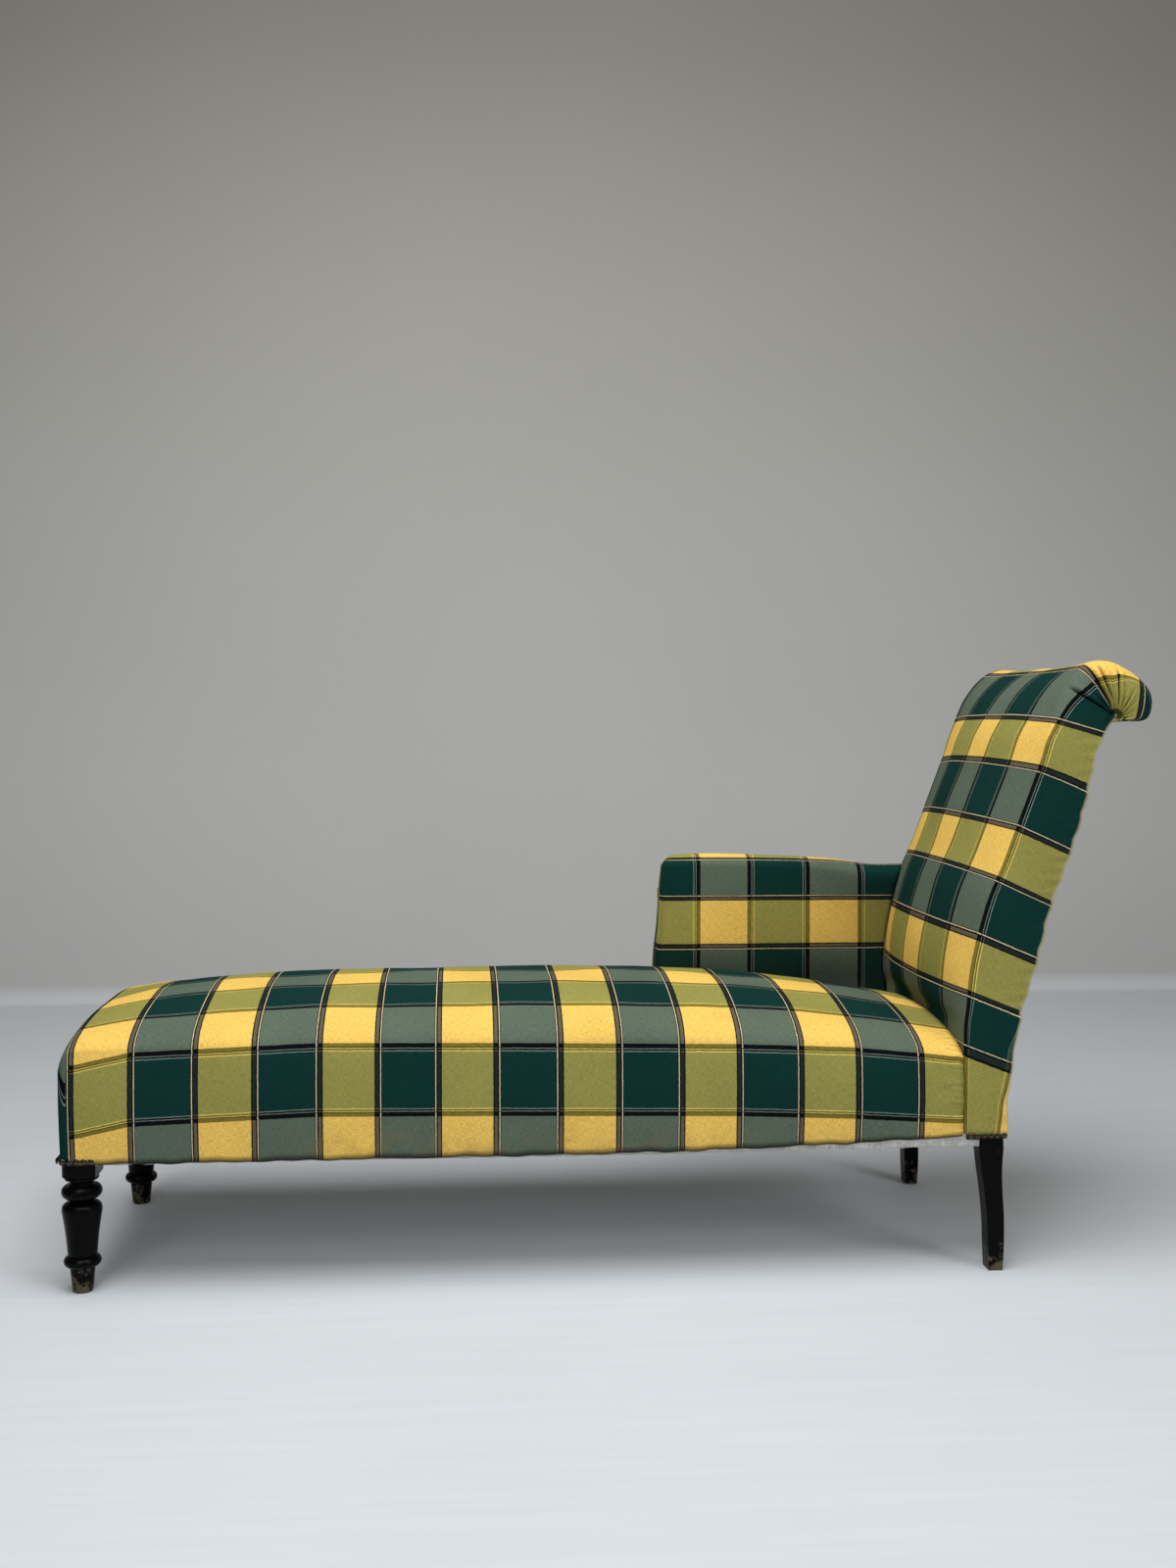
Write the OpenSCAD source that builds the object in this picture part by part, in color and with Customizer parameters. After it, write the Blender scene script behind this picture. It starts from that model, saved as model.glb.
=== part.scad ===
// One-armed upholstered couch with a scrolled back, built as a wooden frame, webbing,
// coil springs, stuffing and cloth covers. Millimetres, +Z up, standing on z = 0.
// Inside the model x runs from the foot legs' axis towards the head end, and the far side,
// with the arm, is +Y. The whole couch is centred over the origin at the end.

/* [Seat] */
// Length of the seat cover from the foot face to the seam at the back
seat_len = 1417; // [1250:1:1650]
// Height of the rails' underside above the floor
rail_low = 207; // [170:1:260]
// Height of the seat rails
rail_h = 88; // [70:1:100]
// Thickness of the seat rails
rail_t = 28; // [22:1:34]
// Height of the foot face above the rails' underside, up to where it rounds over
foot_face_h = 113; // [105:1:125]
// Rise of the rounded edge above the foot face
edge_rise = 85; // [60:1:100]
// Rise of the crown above the rounded edge
crown_rise = 50; // [25:1:70]
// Height of the side shoulders above the rails' underside
shoulder_h = 171; // [155:1:185]

/* [Legs] */
// Distance between the axes of the two foot legs
leg_spread = 455; // [400:1:560]
// Side of the square top block of a foot leg
leg_block = 54; // [48:1:62]
// Height of the turned part of a foot leg
leg_turn_h = 183; // [150:1:200]
// Radius of the widest ring of a foot leg
leg_ring_r = 31; // [27:1:34]
// Depth of a back post at the rails
post_w = 40; // [34:1:48]
// Thickness of a back post across the couch
post_t = 30; // [26:1:36]
// Depth of a back leg at the floor
post_foot_w = 22; // [18:1:30]

/* [Back] */
// Rise of the back from the nail line to the neck of the scroll
back_rise = 673; // [560:1:760]
// Lean of the back from the nail line to the neck of the scroll
back_lean = 174; // [120:1:220]
// Thickness of the padded back, front to rear
back_thick = 108; // [100:1:125]
// Depth of the back beside the seat, from the seam to the rear face
back_foot_depth = 72; // [68:1:84]
// Depth of the scroll, front to rear
roll_depth = 171; // [150:1:190]
// Height of the scroll above its neck
roll_h = 91; // [84:1:104]
// Swell of the back's front in the middle
back_swell = 28; // [15:1:34]
// Dip of the scroll in the middle
roll_dip = 7; // [0:1:12]

/* [Arm] */
// Distance of the arm's front from the foot face
arm_start = 978; // [820:1:1050]
// Height of the arm above the top of the seat rails
arm_rise = 342; // [280:1:400]
// Thickness of the padded arm
arm_thick = 59; // [54:1:70]
// Drop of the arm's top towards the back
arm_drop = 22; // [0:1:35]

/* [Cloth and webbing] */
// Thickness of a cover with its wadding
cover_t = 4; // [2.5:0.1:5]
// Thickness of the hessian
hessian_t = 1.5; // [1:0.1:2.5]
// Width of a webbing strap
web_w = 50; // [40:1:60]
// Thickness of a webbing strap
web_t = 2; // [1.5:0.1:3]
// Number of long seat straps
web_long_count = 5; // [3:1:6]
// Number of cross seat straps
web_cross_count = 12; // [8:1:14]
// Sag of the ticking under the seat
ticking_sag = 20; // [5:1:30]

/* [Springs] */
// Number of springs along the seat
spring_count = 6; // [4:1:6]
// Rows of springs across the seat
spring_rows = 3; // [2:1:3]
// Radius of a spring at its ends
spring_r = 44; // [36:1:48]
// Radius of a spring at its waist
spring_waist_r = 27; // [20:1:32]
// Thickness of the spring wire
wire_t = 4; // [3:0.1:5]

/* [Nails] */
// Radius of a nail's head
nail_r = 5.2; // [4:0.1:5.6]
// Pitch of the nails
nail_pitch = 10.8; // [10.5:0.1:13]

/* [Hidden] */

// Running clearance between pieces that only lie against each other
gap = 0.3;
// Play of a tenon or a peg in its hole
fit_play = 0.2;
// Overrun of a cut past the face that it opens
over = 1;

ebony = [0.06, 0.05, 0.05];
beech = [0.76, 0.60, 0.40];
steel = [0.45, 0.42, 0.38];
jute = [0.66, 0.54, 0.36];
sacking = [0.60, 0.48, 0.31];
horsehair = [0.33, 0.27, 0.22];
check_yellow = [0.90, 0.76, 0.36];
check_green = [0.10, 0.27, 0.25];
check_olive = [0.56, 0.58, 0.28];
ticking_white = [0.88, 0.87, 0.85];
bronze = [0.30, 0.24, 0.17];

// Lines that the frame is set out from
frame_y = (leg_spread + leg_block) / 2;
foot_x = -leg_block / 2;
foot_cover_x = foot_x - gap - cover_t;
seam_x = foot_cover_x + seat_len;
rail_top = rail_low + rail_h;
cover_y = frame_y + gap + cover_t;
post_back_x = seam_x + back_foot_depth - cover_t - gap;
post_front_x = post_back_x - post_w;
side_rail_y = frame_y - rail_t;
post_in_y = frame_y - post_t;

// Tenons and their pegs
tenon_t = rail_t * 0.36;
tenon_l = leg_block * 0.36;
tenon_h = rail_h * 0.64;
post_tenon_l = post_w * 0.34;
cross_tenon_l = post_t * 0.5;
peg_r = tenon_t * 0.38;
peg_l = rail_t;

// Heights and ends of the covers
nail_z = rail_low + nail_r * 0.6;
cover_low_z = rail_low - web_t - gap;
back_low_z = nail_z + nail_r;

// Curve through the control points, taken in equal steps between each two
function blend(a, b, c, d, t) =
    0.5 * (2 * b + (c - a) * t + (2 * a - 5 * b + 4 * c - d) * pow(t, 2)
        + (3 * b - a - 3 * c + d) * pow(t, 3));
function on_curve(p, i, t) =
    blend(p[max(i - 1, 0)], p[i], p[i + 1], p[min(i + 2, len(p) - 1)], t);
function curve(p, steps) = [
    for (i = [0:len(p) - 2]) for (k = [0:steps - 1]) on_curve(p, i, k / steps),
    p[len(p) - 1]
];
function arc(centre, rx, rz, from, to, steps) = [
    for (k = [0:steps]) let (a = from + (to - from) * k / steps)
        centre + [rx * cos(a), rz * sin(a)]
];
function backwards(p) = [for (i = [len(p) - 1:-1:0]) p[i]];
function joined(rows) = [for (row = rows) for (p = row) p];
function flipped(p) = [for (q = p) [q[1], q[0]]];

// A wall between an outer and an inner grid of points, closed along its four edges.
// With capped set, its first row is closed by a panel instead. A slit leaves out the quads
// between its rows and columns, given as [first row, last row, first column, last column].
function halves(q) = [[q[0], q[1], q[2]], [q[0], q[2], q[3]]];
function in_slit(s, r, c) = len(s) == 4 && r >= s[0] && r < s[1] && c >= s[2] && c < s[3];
function wall_faces(rows, cols, capped, slit) = let (
    n = (rows + 1) * (cols + 1),
    o = function (r, c) r * (cols + 1) + c,
    i = function (r, c) n + r * (cols + 1) + c,
    outer = [for (r = [0:rows - 1]) for (c = [0:cols - 1]) if (!in_slit(slit, r, c))
        [o(r, c), o(r, c + 1), o(r + 1, c + 1), o(r + 1, c)]],
    inner = [for (r = [0:rows - 1]) for (c = [0:cols - 1]) if (!in_slit(slit, r, c))
        [i(r, c), i(r + 1, c), i(r + 1, c + 1), i(r, c + 1)]],
    near = function (c, from, to) [for (r = [from:to - 1])
        [o(r, c), o(r + 1, c), i(r + 1, c), i(r, c)]],
    far = function (c, from, to) [for (r = [from:to - 1])
        [o(r + 1, c), o(r, c), i(r, c), i(r + 1, c)]],
    last = function (r, from, to) [for (c = [from:to - 1])
        [o(r, c), o(r, c + 1), i(r, c + 1), i(r, c)]],
    first = function (r, from, to) [for (c = [from:to - 1])
        [o(r, c + 1), o(r, c), i(r, c), i(r, c + 1)]],
    slit_edges = len(slit) < 4 ? [] : concat(
        far(slit[2], slit[0], slit[1]), near(slit[3], slit[0], slit[1]),
        last(slit[0], slit[2], slit[3]), first(slit[1], slit[2], slit[3])
    ),
    pairs = (cols - 3) / 2,
    out_cap = [for (j = [0:pairs]) [o(0, j + 1), o(0, j), o(0, cols - j), o(0, cols - j - 1)]],
    in_cap = [for (j = [0:pairs]) [i(0, j), i(0, j + 1), i(0, cols - j - 1), i(0, cols - j)]],
    sill = [[o(0, cols), o(0, 0), i(0, 0), i(0, cols)]],
    quads = concat(
        outer, inner, near(0, 0, rows), far(cols, 0, rows), last(rows, 0, cols), slit_edges,
        capped ? concat(out_cap, in_cap, sill) : first(0, 0, cols)
    )
) joined([for (q = quads) halves(q)]);

module wall(outer, inner, capped = false, slit = []) {
    polyhedron(
        concat(joined(outer), joined(inner)),
        wall_faces(len(outer) - 1, len(outer[0]) - 1, capped, slit)
    );
}

// A side outline drawn in x and z, given its width across the couch
module across(y_from, y_to) {
    translate([0, y_to, 0]) rotate([90, 0, 0]) linear_extrude(y_to - y_from) children();
}
module bar(low, high) {
    translate(low) cube(high - low);
}

// Surface of the seat, by distance d from the foot face
edge_run = edge_rise * 0.47;
crown_run = edge_rise * 1.77;
shoulder_run = shoulder_h * 0.35;
corner_r = leg_block * 0.28;
block_r = corner_r + gap * 3;
side_swell = cover_t * 1.4;
crown_fall = crown_rise * 1.3;
shoulder_fall = crown_rise * 0.72;
fall_start = seat_len * 0.53;
foot_z = rail_low + foot_face_h;
function rounded(share) = sqrt(max(0, 1 - pow(1 - min(share, 1), 2)));
function fall(d) = pow(max(0, d - fall_start) / (seat_len - fall_start), 2.3);
function shoulder_z(d) =
    foot_z + (shoulder_h - foot_face_h) * rounded(d / shoulder_run) - shoulder_fall * fall(d);
function crown_z(d) =
    foot_z + edge_rise * rounded(d / edge_run)
        + crown_rise * (1 - exp(-d / crown_run)) - crown_fall * fall(d);
function dome(share) = sqrt(max(0, 1 - pow(abs(share), 1.85)));
function plan_y(d) = cover_y - corner_r * (1 - rounded(d / corner_r));

// Stations along the seat, close together at the foot and on both sides of the arm's notch
seat_step_count = 17;
arm_x = foot_cover_x + arm_start;
notch_d = [arm_start - cover_t * 2.2, arm_start - cover_t * 1.8, arm_start - cover_t * 0.5];
first_d = edge_run * 0.01;
function station(i) = max(first_d, seat_len * pow(i / seat_step_count, 2));
seat_d = concat(
    [station(0), station(1), corner_r],
    [for (i = [2:seat_step_count]) if (station(i) < notch_d[0] - cover_t * 3) station(i)],
    notch_d,
    [for (i = [0:seat_step_count]) if (station(i) > notch_d[2] + cover_t * 3) station(i)]
);
arm_in_y = cover_y - arm_thick;
notch_low_z = rail_low + foot_face_h + edge_rise * 0.3;

wall_step_count = 3;
crown_step_count = 13;
// One row of the seat's surface, sunk by the thickness t
function seat_row(d, t) = let (
    x = foot_cover_x + t + (seat_len - gap - t) * (d - first_d) / (seat_len - first_d),
    ys = plan_y(d) - t,
    zs = shoulder_z(d) - t,
    zc = crown_z(d) - t,
    limit = d < notch_d[2] ? ys : arm_in_y - gap - t,
    top_z = zs + (zc - zs) * dome(limit / ys),
    low_far = d < notch_d[1] ? cover_low_z : d < notch_d[2] ? rail_top + gap : notch_low_z
) concat(
    [for (k = [0:wall_step_count - 1]) let (s = k / wall_step_count)
        [x, -ys - side_swell * sin(180 * s), cover_low_z + (zs - cover_low_z) * s]],
    [for (k = [0:crown_step_count]) let (a = 180 * k / crown_step_count)
        let (y = (limit - ys) / 2 - (limit + ys) / 2 * cos(a))
        [x, y, zs + (zc - zs) * dome(y / ys)]],
    [for (k = [wall_step_count - 1:-1:0]) let (s = k / wall_step_count)
        [x, limit + (limit == ys ? side_swell * sin(180 * s) : 0), low_far + (top_z - low_far) * s]]
);
function seat_surface(t) = [for (d = seat_d) seat_row(d, t)];

// Height of the hessian tent over the springs. Beside the arm it comes down short of the arm.
tent_rise = edge_rise * 0.68;
tent_y = frame_y - gap * 3;
arm_rail_t = rail_t * 0.85;
arm_rail_y = frame_y - rail_t / 2;
arm_side_y = arm_rail_y - arm_rail_t / 2;
arm_pad_y = arm_in_y - gap * 2 - cover_t;
function beside_arm(x) = x > foot_cover_x + notch_d[1] + cover_t;
function tent_z(x, y) = let (
    head = (seam_x - x) / (crown_run * 0.6),
    foot = (x - foot_x) / (crown_run * 0.6),
    half = beside_arm(x) && y > 0 ? arm_pad_y : tent_y,
    side = max(0, 1 - pow(min(1, abs(y) / half), 6))
) rail_top + gap + tent_rise * side * rounded(max(0, foot)) * rounded(max(0, head));

// Rows of the stuffing's top, which the hessian and the stuffing's underside follow
pad_d = [for (d = seat_d) if (d != notch_d[0]) d];
function pad_row(d) = let (
    row = seat_row(d, cover_t + gap)
) [for (k = [wall_step_count:wall_step_count + crown_step_count]) row[k]];
pad_top = [for (d = pad_d) pad_row(d)];
function tent_row(row, lift) = [for (p = row) [p[0], p[1], tent_z(p[0], p[1]) + lift]];
function hessian_row(row, lift) = let (
    edge = beside_arm(row[0][0]) ? arm_side_y - gap : tent_y,
    clear = [for (p = row) [p[0], max(-tent_y, min(p[1], edge - gap)), p[2]]]
) concat(tent_row(clear, lift), [[row[0][0], edge, rail_top + gap + lift]]);

// Side lines of the back: each pair is a point of the rear line and one of the front line.
// Shares of the lean for the rear, and of the thickness between rear and front.
rise_shares = [0, 0.12, 0.265, 0.315, 0.42, 0.56, 0.66, 0.769, 0.883, 0.943, 1];
lean_shares = [0, 0.015, 0.105, 0.14, 0.27, 0.405, 0.545, 0.68, 0.775, 0.84, 1];
thick_shares = [0, 0, 0, 0.86, 1, 1, 0.97, 0.94, 0.83, 0.82, 0.965];
swell_shares = [0, 0, 0, 0.7, 0.92, 1, 1, 1, 0.93, 0.85, 0.6];
back_x = seam_x + back_foot_depth;
neck = [back_x + back_lean, back_low_z + back_rise];
rear_points = [
    for (i = [0:len(rise_shares) - 1])
        [back_x + back_lean * lean_shares[i], back_low_z + back_rise * rise_shares[i]]
];
seat_side_count = 3;
front_low_z = rail_top + gap * 2;
front_points = [
    for (i = [0:len(rise_shares) - 1]) let (low = rear_points[seat_side_count - 1][1])
        i < seat_side_count
            ? [seam_x, front_low_z + (low - front_low_z) * i / (seat_side_count - 1)]
            : [max(seam_x, rear_points[i][0] - back_thick * thick_shares[i]), rear_points[i][1]]
];
// The scroll, from the top of the front round to the neck, as shares of its depth and height
roll_x_shares = [
    -0.526, -0.392, -0.21, -0.023, 0.152, 0.287, 0.363, 0.386, 0.368, 0.322, 0.246, 0.15, 0.055
];
roll_z_shares = [
    0.407, 0.769, 0.989, 1, 0.857, 0.67, 0.495, 0.319, 0.11, -0.01, -0.055, -0.05, -0.02
];
roll_points = [
    for (i = [0:len(roll_x_shares) - 1])
        neck + [roll_depth * roll_x_shares[i], roll_h * roll_z_shares[i]]
];
roll_swell_shares = [0.3, 0, -0.2, -0.25, -0.25, -0.22, -0.18, -0.12, -0.06, 0, 0, 0, 0];

slab_step_count = 2;
rear_curve = curve(rear_points, slab_step_count);
front_curve = curve(front_points, slab_step_count);
swell_curve = curve([for (s = swell_shares) back_swell * s], slab_step_count);
hub_r = cover_t;
function unit(v) = v / norm(v);
outline = concat(front_curve, roll_points);
rear_line = concat(
    [for (i = [0:len(rear_curve) - 2]) rear_curve[i]],
    [neck + hub_r * unit(front_curve[len(front_curve) - 1] - neck)],
    [for (p = roll_points) neck + hub_r * unit(p - neck)]
);
swell_line = concat(
    swell_curve,
    [for (s = roll_swell_shares) s < 0 ? roll_dip * s * 4 : back_swell * s]
);
// Direction into the padding at point i of the outline
function inward(i) = let (
    a = outline[max(i - 1, 0)], b = outline[min(i + 1, len(outline) - 1)], v = unit(b - a)
) [v[1], -v[0]];
slab_rows = len(front_curve) - 1;
roll_corner = cover_t * 6;
side_corner = cover_t * 0.6;
roll_puff = cover_t * 0.8;
face_step_count = 9;
slit_y = arm_side_y - web_t - gap * 2;
// Places across the front: even steps up to where the arm's frame passes through, then the edge
function face_share(k, edge_y) =
    k == face_step_count ? 1 : -1 + (1 + slit_y / edge_y) * k / (face_step_count - 1);
// One row of the back's surface, sunk by the thickness t
function back_row(i, t) = let (
    f = outline[i] + inward(i) * t,
    r = rear_line[i],
    on_roll = min(1, max(0, i - slab_rows + 2) / 4),
    corner = side_corner + (roll_corner - side_corner) * on_roll,
    puff = roll_puff * on_roll,
    y = cover_y - t,
    edge_y = t > 0 ? y - (corner - side_corner) : y - corner,
    edge_share = t > 0 ? 1 - cover_t / max(norm(f - r), cover_t * 2) : 0.97,
    side_z = i <= slab_step_count * (seat_side_count - 1) ? r[1] : f[1],
    at = function (s) r + (([f[0], side_z]) - r) * s,
    side = [
        [at(0)[0], y, at(0)[1]], [at(0.5)[0], y + puff, at(0.5)[1]],
        [at(edge_share)[0], y, at(edge_share)[1]]
    ],
    face = [for (k = [0:face_step_count]) let (share = face_share(k, edge_y))
        let (n = f - inward(i) * swell_line[i] * (1 - pow(abs(share), 2.4)))
        [n[0], edge_y * share, n[1]]]
) concat(
    [for (p = side) [p[0], -p[1], p[2]]],
    face,
    [for (k = [len(side) - 1:-1:0]) side[k]]
);
function back_surface(t) = [for (i = [0:len(outline) - 1]) back_row(i, t)];

// The line of the posts' rear faces, and its height lookup
stile_points = [for (i = [0:len(rear_points) - 2]) rear_points[i] - [cover_t + gap, 0]];
stile_curve = curve(stile_points, slab_step_count + 1);
stile_table = flipped(stile_curve);
function stile_x(z) = lookup(z, stile_table);
front_table = flipped([for (i = [0:slab_rows]) front_curve[i]]);
swell_table = [for (i = [0:slab_rows]) [front_curve[i][1], swell_curve[i]]];
// Front of the back cover at a height and a place across
function back_front_x(z, y) =
    lookup(z, front_table)
        - lookup(z, swell_table) * (1 - pow(min(1, abs(y) / (cover_y - side_corner)), 2.4));

// The scroll's wooden ends and the crest rail between them
scroll_c = neck + [-roll_depth * 0.035, roll_h * 0.46];
scroll_r = roll_h * 0.33;
crest_r = scroll_r * 0.87;
crest_tenon_r = crest_r * 0.45;

// Sabre shape of the back legs, as shares of the rails' height and the posts' depth
leg_z_shares = [0, 0.164, 0.396, 0.628, 0.787, 0.957];
leg_rear_shares = [0, 0.05, 0.05, -0.025, -0.05, 0];
leg_w_shares = [0, 0.11, 0.22, 0.5, 0.78, 1];

module post_outline() {
    leg_rear = [for (i = [0:len(leg_z_shares) - 1])
        [post_back_x + post_w * leg_rear_shares[i], rail_low * leg_z_shares[i]]];
    leg_front = [for (i = [0:len(leg_z_shares) - 1])
        [post_back_x - post_foot_w - (post_w - post_foot_w) * leg_w_shares[i],
            rail_low * leg_z_shares[i]]];
    stile = [for (p = stile_curve) if (p[1] > rail_low) p - [gap * 2, 0]];
    top = [
        scroll_c + [scroll_r * 0.6, 0],
        scroll_c - [scroll_r * 0.9, 0]
    ];
    polygon(concat(
        curve(leg_rear, 3), stile, top,
        backwards([for (p = stile) [max(post_front_x, p[0] + gap * 2 - post_w), p[1]]]),
        backwards(curve(leg_front, 3))
    ));
}

// Rails of the back and arm, by height
lower_rail_z = rail_top + cover_t * 2;
lower_rail_h = rail_h * 0.68;
lower_rail_t = rail_t * 0.9;
arm_rail_h = rail_t;
arm_r = arm_thick / 2;
function arm_top(s) = rail_top + arm_rise - arm_drop * pow(s, 1.6) - arm_r * 0.1 * exp(-s * 12);
function arm_rail_top(s) = arm_top(s) - arm_r * 0.62;
arm_top_z = arm_rail_top(1) - arm_rail_h;
arm_tack_z = rail_top + rail_h * 0.6;
arm_post_w = post_w * 1.1;
arm_post_x = arm_x + cover_t + gap * 2;
arm_lean = arm_thick * 0.5;
crest_peg_l = cross_tenon_l;

module post(side) {
    low = side < 0 ? -frame_y : post_in_y;
    color(ebony) difference() {
        union() {
            across(low, low + post_t) post_outline();
            translate([scroll_c[0], low, scroll_c[1]])
                rotate([-90, 0, 0]) cylinder(r = scroll_r, h = post_t, $fn = 64);
        }
        // Mortise of the side rail
        bar(
            [post_front_x - over, side * (frame_y - rail_t / 2) - tenon_t / 2 - fit_play,
                rail_low + (rail_h - tenon_h) / 2 - fit_play],
            [post_front_x + post_tenon_l + fit_play,
                side * (frame_y - rail_t / 2) + tenon_t / 2 + fit_play,
                rail_low + (rail_h + tenon_h) / 2 + fit_play]
        );
        // Mortises of the cross rails
        for (m = [head_tenon(side, fit_play), lower_tenon(side, fit_play)]) bar(m[0], m[1]);
        translate([scroll_c[0], side * (post_in_y - over), scroll_c[1]])
            rotate([-90 * side, 0, 0])
            cylinder(r = crest_tenon_r + fit_play, h = crest_peg_l + over + fit_play, $fn = 48);
        peg_holes(side, post_pegs(side));
        if (side > 0) for (m = arm_tenons(fit_play)) bar(m[0], m[1]);
    }
}

// Boxes of the cross rails' tenons, grown by the play g
function head_tenon(side, g) = let (
    x = post_front_x + post_w / 2, z = rail_low + rail_h * 0.5,
    a = side * (post_in_y - (g > 0 ? over : 0)), b = side * (post_in_y + cross_tenon_l + g)
) [
    [x - tenon_t / 2 - g, min(a, b), z - tenon_h * 0.25 - g],
    [x + tenon_t / 2 + g, max(a, b), z + tenon_h * 0.25 + g]
];
function lower_x() = stile_x(lower_rail_z + lower_rail_h / 2) - post_w;
function lower_tenon(side, g) = let (
    x = lower_x() + post_w / 2, z = lower_rail_z + lower_rail_h / 2,
    a = side * (post_in_y - (g > 0 ? over : 0)), b = side * (post_in_y + cross_tenon_l + g)
) [
    [x - tenon_t / 2 - g, min(a, b), z - lower_rail_h * 0.3 - g],
    [x + tenon_t / 2 + g, max(a, b), z + lower_rail_h * 0.3 + g]
];
// The two arm rails end in the far post
function arm_end_x(z) = max(post_front_x, stile_x(z) - post_w);
arm_tenon_l = post_w * 0.4;
function arm_tenons(g) = [
    for (z = [arm_tack_z + arm_rail_h / 2, arm_top_z + arm_rail_h / 2]) [
        [arm_end_x(z) - rail_t * (g > 0 ? 1 : 0), arm_rail_y - tenon_t / 2 - g,
            z - arm_rail_h * 0.3 - g],
        [arm_end_x(z) + arm_tenon_l + g, arm_rail_y + tenon_t / 2 + g,
            z + arm_rail_h * 0.3 + g]
    ]
];

// Places of the pegs through the rails' tenons, and their holes
function post_pegs(side) = [[post_front_x + post_tenon_l * 0.55, side]];
function foot_pegs(side) = [[leg_block / 2 - tenon_l * 0.5, side]];
module peg_holes(side, pegs) {
    for (p = pegs)
        translate([p[0], side * (frame_y + over), rail_low + rail_h / 2])
            rotate([90 * side, 0, 0])
            cylinder(r = peg_r + fit_play / 2, h = peg_l + over + fit_play, $fn = 32);
}
module tenon_pegs() {
    color(beech) for (side = [-1, 1]) for (p = concat(post_pegs(side), foot_pegs(side)))
        translate([p[0], side * frame_y, rail_low + rail_h / 2])
            rotate([90 * side, 0, 0]) cylinder(r = peg_r, h = peg_l, $fn = 32);
}

// Turned foot leg: outline from the floor up, in shares of the ring's radius and the height
function turned(r, z) = [leg_ring_r * r, leg_turn_h * z];
function bead(r, z, rr, zr) =
    arc(turned(r, z), leg_ring_r * rr, leg_turn_h * zr, -90, 90, 10);
module turned_outline() {
    polygon(concat(
        [[0, 0], turned(0.46, 0), turned(0.5, 0.012)],
        curve([turned(0.5, 0.012), turned(0.56, 0.11), turned(0.61, 0.19), turned(0.6, 0.215)], 4),
        bead(0.66, 0.262, 0.26, 0.044),
        [turned(0.69, 0.312), turned(0.72, 0.32)],
        curve([turned(0.72, 0.32), turned(0.8, 0.48), turned(0.9, 0.6), turned(0.965, 0.67),
            turned(0.985, 0.7), turned(0.95, 0.735), turned(0.8, 0.76), turned(0.565, 0.775)], 4),
        bead(0.62, 0.857, 0.38, 0.06),
        curve([turned(0.61, 0.925), turned(0.57, 0.94), turned(0.62, 0.957)], 4),
        arc(turned(0.76, 0.98), leg_ring_r * 0.09, leg_turn_h * 0.02, -90, 90, 8),
        [[0, leg_turn_h]]
    ));
}
module foot_leg(side) {
    h = leg_block / 2;
    color(ebony) difference() {
        translate([0, side * leg_spread / 2, 0]) union() {
            rotate_extrude($fn = 96) turned_outline();
            bar([-h + block_r, -h, leg_turn_h], [h, h, rail_top]);
            bar(
                [-h, side < 0 ? -h + block_r : -h, leg_turn_h],
                [h, side < 0 ? h : h - block_r, rail_top]
            );
            translate([-h + block_r, side * (h - block_r), leg_turn_h])
                cylinder(r = block_r, h = rail_top - leg_turn_h, $fn = 48);
        }
        // Mortises of the side rail and of the foot rail
        bar(
            [h - tenon_l - fit_play, side * (frame_y - rail_t / 2) - tenon_t / 2 - fit_play,
                rail_low + (rail_h - tenon_h) / 2 - fit_play],
            [h + over, side * (frame_y - rail_t / 2) + tenon_t / 2 + fit_play,
                rail_low + (rail_h + tenon_h) / 2 + fit_play]
        );
        bar(foot_tenon(side, fit_play)[0], foot_tenon(side, fit_play)[1]);
        peg_holes(side, foot_pegs(side));
    }
}
function foot_tenon(side, g) = let (
    face = leg_spread / 2 - leg_block / 2,
    a = side * (face - (g > 0 ? over : 0)), b = side * (face + tenon_l * 0.6 + g),
    x = foot_x + rail_t / 2, z = rail_low + rail_h / 2
) [
    [x - tenon_t / 2 - g, min(a, b), z - tenon_h / 2 - g],
    [x + tenon_t / 2 + g, max(a, b), z + tenon_h / 2 + g]
];

// Seat rails with their tenons
module side_rail(side) {
    low = side < 0 ? -frame_y : side_rail_y;
    mid = low + rail_t / 2;
    z_mid = rail_low + rail_h / 2;
    color(beech) difference() {
        union() {
            bar([leg_block / 2, low, rail_low], [post_front_x, low + rail_t, rail_top]);
            bar(
                [leg_block / 2 - tenon_l, mid - tenon_t / 2, z_mid - tenon_h / 2],
                [post_front_x + post_tenon_l, mid + tenon_t / 2, z_mid + tenon_h / 2]
            );
        }
        peg_holes(side, concat(post_pegs(side), foot_pegs(side)));
        bar(
            [brace_x - brace_w / 2 - fit_play, min(side * (side_rail_y - over), side * brace_y),
                brace_z - fit_play],
            [brace_x + brace_w / 2 + fit_play, max(side * (side_rail_y - over), side * brace_y),
                brace_z + brace_h + fit_play]
        );
        screw_at(side, fit_play / 2);
        if (side > 0) for (x = dowel_xs)
            translate([x, arm_rail_y, rail_top - dowel_l / 2 - fit_play])
                cylinder(r = dowel_r + fit_play / 2, h = dowel_l, $fn = 32);
    }
}
module foot_seat_rail() {
    face = leg_spread / 2 - leg_block / 2;
    color(beech) union() {
        bar([foot_x, -face, rail_low], [foot_x + rail_t, face, rail_top]);
        for (side = [-1, 1]) bar(foot_tenon(side, 0)[0], foot_tenon(side, 0)[1]);
    }
}
module head_seat_rail() {
    x = post_front_x + post_w / 2;
    color(beech) union() {
        bar([x - rail_t / 2, -post_in_y, rail_low], [x + rail_t / 2, post_in_y, rail_top]);
        for (side = [-1, 1]) bar(head_tenon(side, 0)[0], head_tenon(side, 0)[1]);
    }
}

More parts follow.
